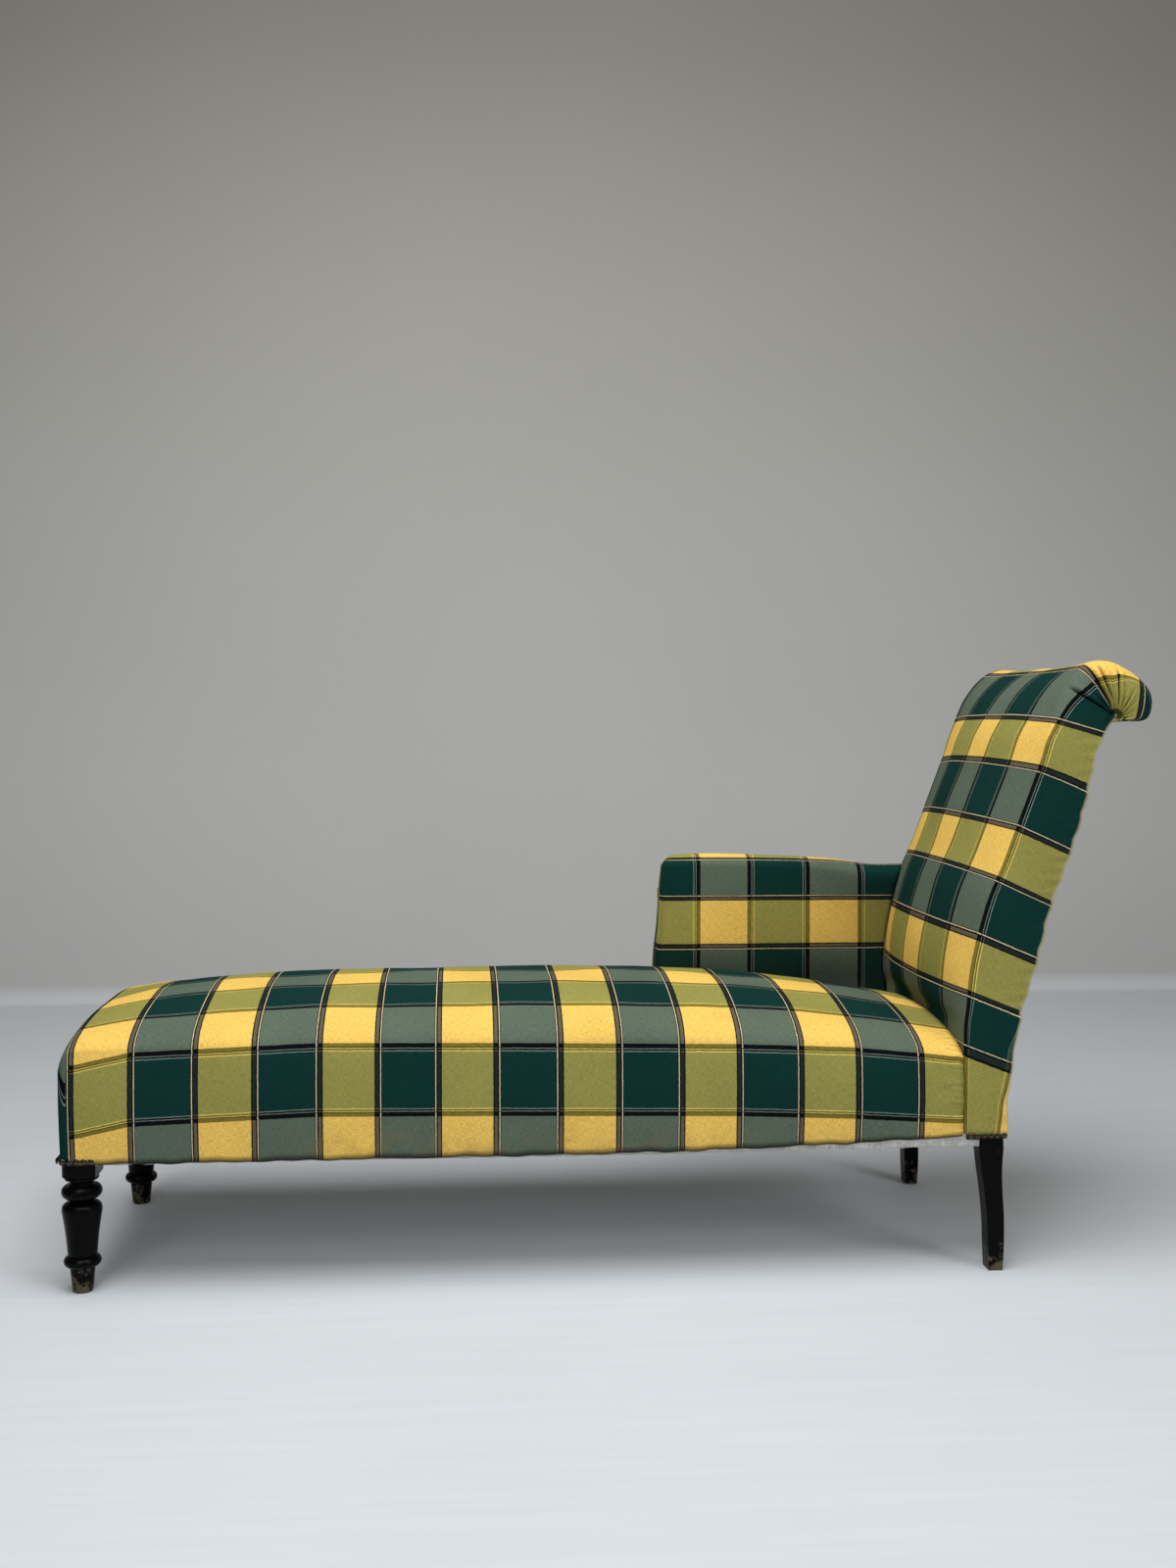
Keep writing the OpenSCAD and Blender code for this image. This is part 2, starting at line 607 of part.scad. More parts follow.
// Brace across the middle of the seat, let into the side rails
brace_w = rail_t;
brace_h = rail_h * 0.5;
brace_x = (leg_block / 2 + post_front_x) / 2;
brace_z = rail_low + fit_play + gap;
brace_y = side_rail_y + rail_t * 0.4;
module seat_brace() {
    l = brace_y - fit_play;
    color(beech) bar(
        [brace_x - brace_w / 2, -l, brace_z],
        [brace_x + brace_w / 2, l, brace_z + brace_h]
    );
}

// Three-cornered blocks in the head corners, with a screw into each rail
block_l = rail_h * 0.62;
block_h = rail_h * 0.5;
block_z = rail_low + rail_h * 0.25;
block_x = post_front_x;
head_face_x = post_front_x + post_w / 2 - rail_t / 2;
screw_r = rail_t * 0.09;
screw_l = rail_t * 1.5;
module block_outline() {
    polygon([[0, 0], [-block_l, 0], [-block_l, block_l * 0.2], [-block_l * 0.2, block_l],
        [0, block_l]]);
}
module corner_blocks() {
    color(beech) for (side = [-1, 1]) difference() {
        translate([block_x, side * side_rail_y, block_z])
            mirror([0, side > 0 ? 1 : 0, 0]) linear_extrude(block_h) block_outline();
        bar(
            [block_x - rail_t * 0.5, side > 0 ? post_in_y - gap : -frame_y, block_z - over],
            [block_x + over, side > 0 ? frame_y : -post_in_y + gap, block_z + block_h + over]
        );
        screw_at(side, fit_play / 2);
    }
}
module screw_at(side, g) {
    c = [block_x - block_l * 0.6, side * (side_rail_y - block_l * 0.6), block_z + block_h / 2];
    translate(c) rotate([-90 * side, 0, 0]) {
        cylinder(r = screw_r + g, h = screw_l, $fn = 24);
        translate([0, 0, -screw_r]) cylinder(r = screw_r * 2 + g, h = screw_r, $fn = 32);
    }
}
module block_screws() {
    color(steel) for (side = [-1, 1]) screw_at(side, 0);
}

// Rails of the back
module back_lower_rail() {
    x = lower_x() + post_w / 2;
    color(beech) union() {
        bar(
            [x - lower_rail_t / 2, -post_in_y, lower_rail_z],
            [x + lower_rail_t / 2, post_in_y, lower_rail_z + lower_rail_h]
        );
        for (side = [-1, 1]) bar(lower_tenon(side, 0)[0], lower_tenon(side, 0)[1]);
    }
}
module back_crest_rail() {
    color(beech) translate([scroll_c[0], 0, scroll_c[1]]) rotate([90, 0, 0]) union() {
        cylinder(r = crest_r, h = 2 * post_in_y, center = true, $fn = 64);
        cylinder(r = crest_tenon_r, h = 2 * (post_in_y + crest_peg_l), center = true, $fn = 48);
    }
}

// Arm frame: post on the far rail, top rail and tacking rail into the far back post
dowel_r = rail_t * 0.17;
dowel_l = rail_t * 1.4;
dowel_xs = [arm_post_x + arm_post_w * 0.3, arm_post_x + arm_post_w * 0.72];
arm_post_top = arm_rail_top(0) - arm_rail_h;
module arm_front_post() {
    low = arm_rail_y - arm_rail_t / 2;
    color(beech) difference() {
        across(low, low + arm_rail_t) polygon([
            [arm_post_x, rail_top],
            [arm_post_x + arm_post_w, rail_top],
            [arm_post_x + arm_post_w * 0.92, arm_tack_z],
            [arm_post_x + arm_post_w + arm_lean * 0.3, arm_post_top],
            [arm_post_x + arm_lean * 0.4, arm_post_top]
        ]);
        for (x = dowel_xs)
            translate([x, arm_rail_y, rail_top - over])
                cylinder(r = dowel_r + fit_play / 2, h = dowel_l / 2 + over + fit_play, $fn = 32);
        bar(
            [arm_post_x + arm_post_w * 0.5, arm_rail_y - tenon_t / 2 - fit_play,
                arm_tack_z + arm_rail_h * 0.2 - fit_play],
            [arm_post_x + arm_post_w * 2, arm_rail_y + tenon_t / 2 + fit_play,
                arm_tack_z + arm_rail_h * 0.8 + fit_play]
        );
    }
}
module arm_dowels() {
    color(beech) for (x = dowel_xs)
        translate([x, arm_rail_y, rail_top - dowel_l / 2])
            cylinder(r = dowel_r, h = dowel_l, $fn = 32);
}
nose_angles = [100, 170];
module arm_top_rail() {
    low = arm_rail_y - arm_rail_t / 2;
    t = arm_tenons(0)[1];
    front = arm_post_x + arm_lean * 0.4;
    end_low = arm_end_x(arm_top_z) - gap;
    end_high = arm_end_x(arm_rail_top(1)) - gap;
    meets = back_front_x(arm_rail_top(1), arm_rail_y);
    nose = arm_rail_h * 0.7;
    nose_z = arm_post_top + arm_rail_h - nose;
    color(beech) union() {
        across(low, low + arm_rail_t) polygon(concat(
            [[front, arm_post_top], [front + post_w, arm_post_top]],
            [[end_low, arm_top_z], [end_high, arm_rail_top(1)]],
            [for (s = [1:-0.15:0.1]) [front + (meets - front) * s, arm_rail_top(s)]],
            arc([front + nose, nose_z], nose, nose, nose_angles[0], nose_angles[1], 4),
            [[front, nose_z]]
        ));
        bar([t[0][0] - rail_t, t[0][1], t[0][2]], t[1]);
    }
}
module arm_tacking_rail() {
    low = arm_rail_y - arm_rail_t / 2;
    z = arm_tack_z + arm_rail_h;
    t = arm_tenons(0)[0];
    x = arm_post_x + arm_post_w * 1.04;
    color(beech) union() {
        across(low, low + arm_rail_t)
            polygon([
                [x, arm_tack_z], [arm_end_x(arm_tack_z) - gap, arm_tack_z],
                [arm_end_x(z) - gap, z], [x, z]
            ]);
        bar([arm_post_x + arm_post_w * 0.5 + fit_play, t[0][1], t[0][2]], t[1]);
    }
}

// Seat webbing under the rails
web_head_x = head_face_x + rail_t;
web_z = rail_low - web_t;
module seat_webbing_long() {
    pitch = (2 * side_rail_y - web_w) / web_long_count;
    color(jute) for (i = [0:web_long_count - 1])
        translate([foot_x, -web_w / 2 + pitch * (i - (web_long_count - 1) / 2), web_z - web_t / 2])
            cube([web_head_x - foot_x, web_w, web_t / 2]);
}
web_cross_pitch = (post_front_x - web_w - leg_block) / (web_cross_count - 1);
module seat_webbing_cross() {
    color(jute) for (i = [0:web_cross_count - 1])
        translate([leg_block + web_cross_pitch * i, -frame_y + gap, web_z])
            cube([web_w, 2 * (frame_y - gap), web_t]);
}

// Coil springs, narrow at the waist, stood on the webbing; each is one unbroken tube
spring_low = rail_low + gap;
spring_turn_count = 4;
turn_ring_count = 6;
wire_side_count = 5;
coil_settle_share = 0.85;
function spring_top(x, y) = let (
    edge = spring_r + wire_t / 2,
    at = [for (a = [0:15:345]) tent_z(x + edge * cos(a), y + edge * sin(a))]
) min(at) - gap * 8;
function coil_point(i, n, h) = let (
    s = i / n,
    a = 360 * spring_turn_count * s,
    r = spring_waist_r + (spring_r - spring_waist_r) * pow(abs(2 * s - 1), 1.5),
    flat = s - sin(360 * s) * coil_settle_share / (2 * PI)
) [r * cos(a), r * sin(a), wire_t / 2 + (h - wire_t) * flat];
module spring(h) {
    n = spring_turn_count * turn_ring_count;
    path = [for (i = [0:n]) coil_point(i, n, h)];
    rings = [for (i = [0:n]) let (
        a = 360 * spring_turn_count * i / n,
        out = [cos(a), sin(a), 0])
        [for (k = [0:wire_side_count - 1]) let (b = 360 * k / wire_side_count + 54)
            path[i] + wire_t / 2 * (out * cos(b) + [0, 0, 1] * sin(b))]];
    m = wire_side_count;
    polyhedron(joined(rings), concat(
        [[for (k = [0:m - 1]) k]],
        joined([for (i = [0:n - 1]) for (k = [0:m - 1])
            let (q = [i * m + k, (i + 1) * m + k, (i + 1) * m + (k + 1) % m, i * m + (k + 1) % m])
            halves(q)]),
        [[for (k = [m - 1:-1:0]) n * m + k]]
    ));
}
// Each spring stands on a cross strap, with its wire's ends on the side where the tent falls
spring_pitch_x = web_cross_pitch * floor((web_cross_count - 2) / (spring_count - 1));
spring_pitch_y = (2 * side_rail_y - 2 * spring_r - rail_t) / spring_rows;
module seat_springs() {
    color(steel) for (i = [0:spring_count - 1]) for (j = [0:spring_rows - 1]) {
        x = leg_block + web_w / 2 + spring_pitch_x * i;
        y = spring_pitch_y * (j - (spring_rows - 1) / 2);
        translate([x, y, spring_low])
            rotate([0, 0, y < 0 ? -90 : 90]) spring(spring_top(x, y) - spring_low);
    }
}

module seat_hessian() {
    color(sacking) wall(
        [for (row = pad_top) hessian_row(row, hessian_t)],
        [for (row = pad_top) hessian_row(row, 0)]
    );
}

module seat_stuffing() {
    color(horsehair)
        wall(pad_top, [for (row = pad_top) tent_row(row, hessian_t + gap)]);
}

module seat_cover() {
    color(check_yellow) wall(seat_surface(0), seat_surface(cover_t), true);
}

// Striped ticking under the webbing, hanging in a shallow belly and cut round the legs
cloth_column_count = 8;
cloth_step_count = 12;
cloth_shares = concat(
    [0, (leg_block / 2 + gap - foot_x) / (web_head_x - foot_x)],
    [for (i = [1:cloth_step_count - 1]) i / cloth_step_count],
    [(post_front_x - gap * 4 - foot_x) / (web_head_x - foot_x), 1]
);
function belly(s, w) = sin(180 * s) * pow(max(0, 1 - pow(w, 2)), 0.7);
function cloth_half(x) =
    x < leg_block / 2 ? (leg_spread - leg_block) / 2 - gap
        : x > post_front_x - gap * 3 ? post_in_y - gap : frame_y - gap;
function cloth_row(x, s, t) = [
    for (k = [0:cloth_column_count]) let (w = 2 * k / cloth_column_count - 1)
        [x, cloth_half(x) * w, web_z - web_t / 2 - gap - t
            - ticking_sag * belly(s, w) * (0.35 + 0.65 * sin(180 * pow(s, 2)))]
];
function cloth_x(s) = foot_x + gap + (web_head_x - foot_x - gap) * s;
function cloth_surface(t) = joined([
    for (i = [0:len(cloth_shares) - 1]) let (s = cloth_shares[i], x = cloth_x(s))
        i == 1 ? [cloth_row(x - gap * 2, s, t), cloth_row(x + gap, s, t)]
        : i == len(cloth_shares) - 2 ? [cloth_row(x, s, t), cloth_row(x + gap * 3, s, t)]
        : [cloth_row(x, s, t)]
]);
module bottom_cloth() {
    color(ticking_white) wall(cloth_surface(0), cloth_surface(hessian_t / 2));
}

// Layers on the front faces of the posts
function layer(depth) = [
    for (p = stile_curve) if (p[1] > lower_rail_z && p[1] < scroll_c[1] - scroll_r - crest_r)
        [max(post_front_x, p[0] - post_w) - depth, p[1]]
];
function lower_layer(depth) = concat(
    [[max(post_front_x, stile_x(lower_rail_z) - post_w) - depth, lower_rail_z]], layer(depth)
);
module sheet_between(depth_a, depth_b) {
    polygon(concat(lower_layer(depth_a), backwards(lower_layer(depth_b))));
}
back_web_count = 3;
back_cross_count = 5;
module back_webbing_up() {
    pitch = 2 * post_in_y / (back_web_count + 1);
    color(jute) for (i = [1:back_web_count])
        across(-post_in_y + pitch * i - web_w / 2, -post_in_y + pitch * i + web_w / 2)
            sheet_between(web_t, 2 * web_t);
}
module arm_rail_ways() {
    for (m = arm_tenons(fit_play)) bar(
        [m[0][0] - back_thick, arm_side_y - gap, m[0][2] - arm_rail_h * 0.3],
        [m[1][0] + over, frame_y + over, m[1][2] + arm_rail_h * 0.3]
    );
}
module back_webbing_across() {
    line = lower_layer(0);
    z0 = line[0][1] + lower_rail_h + web_w * 0.5;
    z1 = line[len(line) - 1][1];
    pitch = (z1 - z0 - web_w) / (back_cross_count - 1);
    color(jute) for (i = [0:back_cross_count - 1]) intersection() {
        difference() {
            across(-frame_y + gap, frame_y - gap) sheet_between(gap / 3, web_t - gap / 3);
            arm_rail_ways();
        }
        bar(
            [post_front_x - back_thick, -frame_y, z0 + pitch * i],
            [neck[0], frame_y, z0 + pitch * i + web_w]
        );
    }
}
module back_hessian() {
    color(sacking) difference() {
        across(-frame_y + gap, frame_y - gap)
            sheet_between(2 * web_t + gap / 3, 2 * web_t + gap / 3 + hessian_t);
        arm_rail_ways();
    }
}

// Stuffing of the back between its hessian and its cover
back_pad_rows = [for (i = [0:slab_rows]) if (outline[i][1] > lower_rail_z + rail_h * 0.35
    && outline[i][1] < scroll_c[1] - scroll_r - crest_r) i];
back_face_row_index = 3;
function back_pad_row(i) = let (row = back_row(i, cover_t + gap))
    [for (k = [back_face_row_index:back_face_row_index + face_step_count]) let (p = row[k])
        [p[0], i <= slit_rows[1] && k == back_face_row_index + face_step_count ? slit_y + gap : p[1], p[2]]];
function behind(p) = [
    max(post_front_x, stile_x(p[2]) - post_w) - 2 * web_t - hessian_t - gap * 5, p[1], p[2]
];
module back_stuffing() {
    front = [for (i = back_pad_rows) back_pad_row(i)];
    color(horsehair) wall(front, [for (row = front) [for (p = row) behind(p)]]);
}

// Stuffing round the crest rail
module roll_stuffing() {
    depth = cover_t + gap + roll_dip;
    ring = [for (i = [slab_rows + 1:len(outline) - 3]) outline[i] + inward(i) * depth];
    color(horsehair) across(-post_in_y + gap, post_in_y - gap) difference() {
        polygon(ring);
        translate(scroll_c) circle(r = crest_r + gap, $fn = 48);
    }
}

// Rows of the slit in the back cover where the arm's frame passes through
function rows_below(z) = len([for (i = [0:slab_rows]) if (outline[i][1] < z) i]);
slit_rows = [rows_below(arm_tack_z - gap) - 1, rows_below(arm_rail_top(1) + gap)];
slit_column = back_face_row_index + face_step_count - 1;
module back_cover() {
    color(check_green) wall(
        back_surface(0), back_surface(cover_t),
        slit = [slit_rows[0], slit_rows[1], slit_column, slit_column + 1]
    );
}

panel_t = cover_t * 0.75;
module outside_back_panel() {
    line = concat(
        [for (i = [0:slab_rows - 1]) rear_curve[i]],
        [neck - [0, gap * 2], neck + [hub_r * 1.6, -gap * 2]]
    );
    color(check_green) across(-cover_y + cover_t + gap, cover_y - cover_t - gap)
        polygon(concat(
            [for (p = line) p - [gap, 0]],
            backwards([for (p = line) p - [gap + panel_t, 0]])
        ));
}

// Arm: webbing on the frame's inner side, stuffing, cover and outside panel
arm_low_z = rail_top + hessian_t + gap * 2;
module arm_webbing() {
    z0 = arm_tack_z;
    z1 = arm_top_z + arm_rail_h * 0.8;
    x0 = arm_post_x + arm_post_w * 1.6;
    pitch = (seam_x - back_swell - web_w - x0) / 3;
    color(jute) for (i = [0:3]) bar(
        [x0 + pitch * i, arm_side_y - web_t - gap / 3, z0],
        [x0 + pitch * i + web_w, arm_side_y - gap / 3, z1]
    );
}
arch_step_count = 5;
arm_side_count = 3;
arm_rows = [0, 0.012, 0.03, 0.031, 0.12, 0.28, 0.46, 0.64, 0.82, 1];
arm_wrap_row_index = 2;
arm_front_shares = [[0, 0], [0.35, 0], [0.62, 0.06], [0.82, 0.16], [0.93, 0.42], [1, 1]];
function arm_front(h) = arm_x + arm_lean * lookup(h, arm_front_shares);
// One row of the arm's surface at share s of its length, sunk by t
function arm_row(i, t) = let (
    s = arm_rows[i],
    r = arm_r - t,
    spring_z = arm_top(s) - arm_r * 0.75,
    y_mid = cover_y - arm_r,
    low_out = i <= arm_wrap_row_index ? arm_low_z : arm_top_z,
    inner = [for (k = [0:arm_side_count - 1])
        [y_mid - r, arm_low_z + (spring_z - arm_low_z) * k / arm_side_count]],
    arch = [for (k = [0:arch_step_count]) let (a = 180 - 180 * k / arch_step_count)
        [y_mid + r * cos(a), spring_z + (arm_r * 0.75 - t) * sin(a)]],
    outer = [for (k = [arm_side_count - 1:-1:0])
        [y_mid + r, low_out + (spring_z - low_out) * k / arm_side_count]],
    place = function (p) let (
        h = (p[1] - arm_low_z) / (arm_rise + rail_top - arm_low_z),
        a = arm_front(min(1, max(0, h))) + t,
        b = back_front_x(p[1] + t, p[0] - t) - gap * 12 - (t > 0 ? 0 : gap)
    ) [a + (b - a) * s, p[0], p[1]]
) [for (p = concat(inner, arch, outer)) place(p)];
function arm_surface(t) = [for (i = [0:len(arm_rows) - 1]) arm_row(i, t)];
module arm_cover() {
    color(check_olive) wall(arm_surface(0), arm_surface(cover_t), true);
}
arm_pad_row_index = 4;
module arm_stuffing() {
    face_y = arm_side_y - web_t - gap;
    top = [for (i = [arm_pad_row_index:len(arm_rows) - 1])
        let (row = arm_row(i, cover_t + gap))
        [for (k = [0:arm_side_count + arch_step_count - 1]) row[k]]];
    inner = [for (i = [0:len(top) - 1]) [for (k = [0:len(top[i]) - 1]) let (
        row = top[i],
        p = row[k],
        rail_z = arm_rail_top(arm_rows[arm_pad_row_index + i]) + gap * 2,
        up = min(1, k / arm_side_count),
        over_rail = max(0, k - arm_side_count) / (len(row) - 1 - arm_side_count)
    ) [p[0], face_y + (row[len(row) - 1][1] - face_y) * over_rail,
        arm_low_z + (rail_z - arm_low_z) * up]]];
    color(horsehair) wall(top, inner);
}
function arm_seam_x(z) = let (
    h = (z - arm_low_z) / (arm_rise + rail_top - arm_low_z),
    a = arm_front(max(0, h)),
    b = back_front_x(z, cover_y)
) a + (b - a) * arm_rows[arm_wrap_row_index + 1] + cover_t * 1.6;
module outside_arm_panel() {
    top_z = arm_top_z - gap * 2;
    line = [for (p = front_curve) if (p[1] > front_low_z + over && p[1] < top_z) p];
    seam_shares = [1, 0.9, 0.75, 0.6, 0.4, 0];
    color(check_olive) across(frame_y + gap, frame_y + gap + panel_t) polygon(concat(
        [[arm_x - cover_t * 0.4, cover_low_z], [seam_x - gap, cover_low_z],
            [seam_x - gap, front_low_z]],
        [for (p = line) p - [gap * 3, 0]],
        [[lookup(top_z, front_table) - gap * 3, top_z]],
        [for (h = seam_shares) let (z = arm_low_z + (top_z - arm_low_z) * h) [arm_seam_x(z), z]],
        [[arm_seam_x(arm_low_z), rail_top - gap], [arm_x - cover_t * 0.4, rail_top - gap]]
    ));
}

// Dome-headed nails, seated on the cloth
nail_head = nail_r * 0.55;
nail_angles = [12, 78];
module nail() {
    rotate_extrude($fn = 24) polygon(concat(
        [[0, 0], [nail_r, 0]],
        arc([0, 0], nail_r, nail_head, nail_angles[0], nail_angles[1], 5),
        [[0, nail_head]]
    ));
}
foot_nail_count = floor(leg_block / nail_pitch);
back_nail_count = floor((back_foot_depth - nail_r) / nail_pitch);
module foot_nails() {
    start = foot_x + (leg_block - nail_pitch * (foot_nail_count - 1)) / 2;
    top_share = (nail_z + nail_r - cover_low_z) / (shoulder_z(leg_block) - cover_low_z);
    swell = side_swell * (sin(180 / wall_step_count) * wall_step_count * top_share);
    color(bronze) for (side = [-1, 1]) for (i = [0:foot_nail_count - 1]) {
        translate([start + nail_pitch * i, side * (cover_y + gap / 3 + swell), nail_z])
            rotate([-90 * side, 0, 0]) nail();
        translate([foot_cover_x - gap / 3,
            side * (frame_y - leg_block / 2 + nail_pitch * (i - (foot_nail_count - 1) / 2)), nail_z])
            rotate([0, -90, 0]) nail();
    }
}
module back_nails() {
    start = back_x - nail_r - nail_pitch * (back_nail_count - 1);
    color(bronze) for (side = [-1, 1]) for (i = [0:back_nail_count - 1])
        translate([start + nail_pitch * i, side * (cover_y + gap / 3), back_low_z + nail_r])
            rotate([-90 * side, 0, 0]) nail();
}

// The couch is centred over the origin
roll_back_x = neck[0] + roll_depth * max(roll_x_shares);
shift = -(foot_cover_x - gap / 3 - nail_head + roll_back_x) / 2;
module placed() {
    translate([shift, 0, 0]) children();
}

placed() foot_leg(-1);  // near_foot_leg
placed() foot_leg(1);  // far_foot_leg
placed() post(-1);  // near_back_post
placed() post(1);  // far_back_post
placed() side_rail(-1);  // near_seat_rail
placed() side_rail(1);  // far_seat_rail
placed() foot_seat_rail();
placed() head_seat_rail();
placed() seat_brace();
placed() corner_blocks();
placed() block_screws();
placed() tenon_pegs();
placed() back_lower_rail();
placed() back_crest_rail();
placed() arm_front_post();
placed() arm_top_rail();
placed() arm_tacking_rail();
placed() arm_dowels();
placed() seat_webbing_long();
placed() seat_webbing_cross();
placed() seat_springs();
placed() seat_hessian();
placed() seat_stuffing();
placed() seat_cover();
placed() bottom_cloth();
placed() back_webbing_up();
placed() back_webbing_across();
placed() back_hessian();
placed() back_stuffing();
placed() roll_stuffing();
placed() back_cover();
placed() outside_back_panel();
placed() arm_webbing();
placed() arm_stuffing();
placed() arm_cover();
placed() outside_arm_panel();
placed() foot_nails();
placed() back_nails();
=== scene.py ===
"""A one-armed fainting couch in check cloth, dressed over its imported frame."""

import math

import bpy
import numpy as np
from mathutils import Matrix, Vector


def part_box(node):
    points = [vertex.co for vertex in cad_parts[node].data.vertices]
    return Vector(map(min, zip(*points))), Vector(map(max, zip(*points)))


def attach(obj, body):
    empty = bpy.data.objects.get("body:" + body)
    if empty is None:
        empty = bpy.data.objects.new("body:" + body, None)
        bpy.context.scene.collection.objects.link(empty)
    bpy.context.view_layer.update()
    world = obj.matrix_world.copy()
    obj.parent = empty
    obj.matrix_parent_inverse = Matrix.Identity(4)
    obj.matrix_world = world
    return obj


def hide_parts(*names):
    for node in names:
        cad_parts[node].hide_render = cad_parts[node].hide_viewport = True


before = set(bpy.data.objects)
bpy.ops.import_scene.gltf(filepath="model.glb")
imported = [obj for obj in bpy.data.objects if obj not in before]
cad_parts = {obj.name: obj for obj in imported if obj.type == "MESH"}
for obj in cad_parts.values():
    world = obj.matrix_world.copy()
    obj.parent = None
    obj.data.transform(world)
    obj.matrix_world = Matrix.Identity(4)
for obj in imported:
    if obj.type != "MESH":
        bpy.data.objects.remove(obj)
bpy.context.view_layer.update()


# Room: a painted floor that curves up into a grey wall, with three soft lamps, one overhead and
# two behind the camera. The camera stands at the photographer's place, a little towards the
# foot end and lower than the top of the back.
CAMERA_PLACE = (-0.246, -2.712, 0.882)
CAMERA_TILT = math.radians(87.76)
CAMERA_TURN = math.radians(-4.62)
CAMERA_LENS = 36.4
camera_data = bpy.data.cameras.new("camera")
camera_data.lens = CAMERA_LENS
camera = bpy.data.objects.new("camera", camera_data)
camera.location = CAMERA_PLACE
camera.rotation_euler = (CAMERA_TILT, 0, CAMERA_TURN)
bpy.context.scene.collection.objects.link(camera)
bpy.context.scene.camera = camera
bpy.context.scene.view_settings.view_transform = "Standard"


def grid(*parts):
    """A grid of points from its parts x, y and z, or of places on cloth from along and across."""
    return np.stack(np.broadcast_arrays(*parts), axis=-1)


def mesh_piece(name, mesh):
    """A smooth piece in the scene that shows the mesh."""
    mesh.shade_smooth()
    piece = bpy.data.objects.new(name, mesh)
    bpy.context.scene.collection.objects.link(piece)
    return piece


def surface(name, points, uv=None, flip=False, **marks):
    """A mesh of quads over a grid of points, with its rows along the first axis.

    uv gives each point's place on the cloth in metres, and every further keyword is a
    value between 0 and 1 at each point, such as soil, kept as an attribute of that name.
    """
    rows, cols = points.shape[:2]
    corner = np.arange(rows * cols).reshape(rows, cols)
    quads = np.stack(
        [corner[:-1, :-1], corner[:-1, 1:], corner[1:, 1:], corner[1:, :-1]], axis=-1
    ).reshape(-1, 4)
    if flip:
        quads = quads[:, ::-1]
    mesh = bpy.data.meshes.new(name)
    mesh.from_pydata(points.reshape(-1, 3).tolist(), [], quads.tolist())
    if uv is not None:
        layer = mesh.uv_layers.new(name="cloth")
        layer.data.foreach_set("uv", uv.reshape(-1, 2)[quads.ravel()].ravel())
    for mark, values in marks.items():
        attribute = mesh.attributes.new(mark, "FLOAT", "POINT")
        attribute.data.foreach_set("value", values.ravel())
    return mesh_piece(name, mesh)


def add_node(tree, kind, feeds=None, **settings):
    """A shader node with its settings, whose inputs take the values or sockets in feeds."""
    node = tree.nodes.new(kind)
    for key, value in settings.items():
        setattr(node, key, value)
    for key, value in (feeds or {}).items():
        if isinstance(value, bpy.types.NodeSocket):
            tree.links.new(value, node.inputs[key])
        else:
            node.inputs[key].default_value = value
    return node


def number(tree, operation, *parts):
    """The result of one arithmetic step on values or sockets."""
    return add_node(tree, "ShaderNodeMath", dict(enumerate(parts)), operation=operation).outputs[0]


def vector(tree, operation, *parts):
    """The result of one step on vectors, part by part."""
    feeds = dict(enumerate(parts))
    return add_node(tree, "ShaderNodeVectorMath", feeds, operation=operation).outputs[0]


def mixed(tree, share, first, second, blend="MIX"):
    """Colour between first and second by the given share."""
    feeds = {0: share, 6: first, 7: second}
    return add_node(tree, "ShaderNodeMix", feeds, data_type="RGBA", blend_type=blend).outputs[2]


def noise(tree, place, scale, detail, **shape):
    """Soft noise about 0.5 that changes with the place, with scale waves to a metre."""
    feeds = {"Vector": place, "Scale": scale, "Detail": detail, **shape}
    return add_node(tree, "ShaderNodeTexNoise", feeds).outputs["Fac"]


def ranged(tree, value, low, high, first=0.0, last=1.0):
    """First where the value is low or less, last where it is high or more, even between."""
    feeds = {"Value": value, "From Min": low, "From Max": high, "To Min": first, "To Max": last}
    return add_node(tree, "ShaderNodeMapRange", feeds).outputs["Result"]


def linear(red, green, blue):
    """A screen colour of 0 to 255 as the linear colour that the shader takes."""
    channel = np.array([red, green, blue]) / 255
    straight = np.where(channel <= 0.04045, channel / 12.92, ((channel + 0.055) / 1.055) ** 2.4)
    return (*straight.tolist(), 1.0)


def material(name, follows="Object", **plain):
    """A new material, its tree, its shader and the place that its patterns follow.

    The plain values are set on the shader's own sockets.
    """
    made = bpy.data.materials.new(name)
    made.use_nodes = True
    tree = made.node_tree
    shader = tree.nodes["Principled BSDF"]
    for key, value in plain.items():
        shader.inputs[key.replace("_", " ")].default_value = value
    return made, tree, shader, add_node(tree, "ShaderNodeTexCoord").outputs[follows]


FLOOR_COLOUR = linear(214, 219, 224)
WALL_COLOUR = linear(190, 190, 187)
# Colour that darkens the wall towards the ceiling, as painted shade
WALL_TOP_SHADE = (0.64, 0.61, 0.55, 1.0)
BRUSH_STROKES = (2.0, 40.0, 30.0)
FLOOR_FRONT, FLOOR_BACK = -6.0, 2.3
WALL_HEIGHT = 5.0
ROOM_HALF = 9.0
COVE_RADIUS = 0.06
# Floor, a quarter circle and the wall
cove_turn = np.linspace(0, math.pi / 2, 24)
room_y = FLOOR_BACK + COVE_RADIUS * np.sin(cove_turn)
room_y = np.concatenate([[FLOOR_FRONT], room_y, room_y[-1:]])[:, None]
room_z = np.concatenate([[0], COVE_RADIUS * (1 - np.cos(cove_turn)), [WALL_HEIGHT]])[:, None]
room = surface("room", grid(np.linspace(-ROOM_HALF, ROOM_HALF, 3), room_y, room_z))
room_paint, tree, shader, place = material("room_paint", Roughness=0.75)
height = add_node(tree, "ShaderNodeSeparateXYZ", {0: place}).outputs["Z"]
on_wall = ranged(tree, height, low=0.005, high=0.05)
on_floor = number(tree, "SUBTRACT", 1.0, on_wall)
paint = mixed(tree, on_wall, FLOOR_COLOUR, WALL_COLOUR)
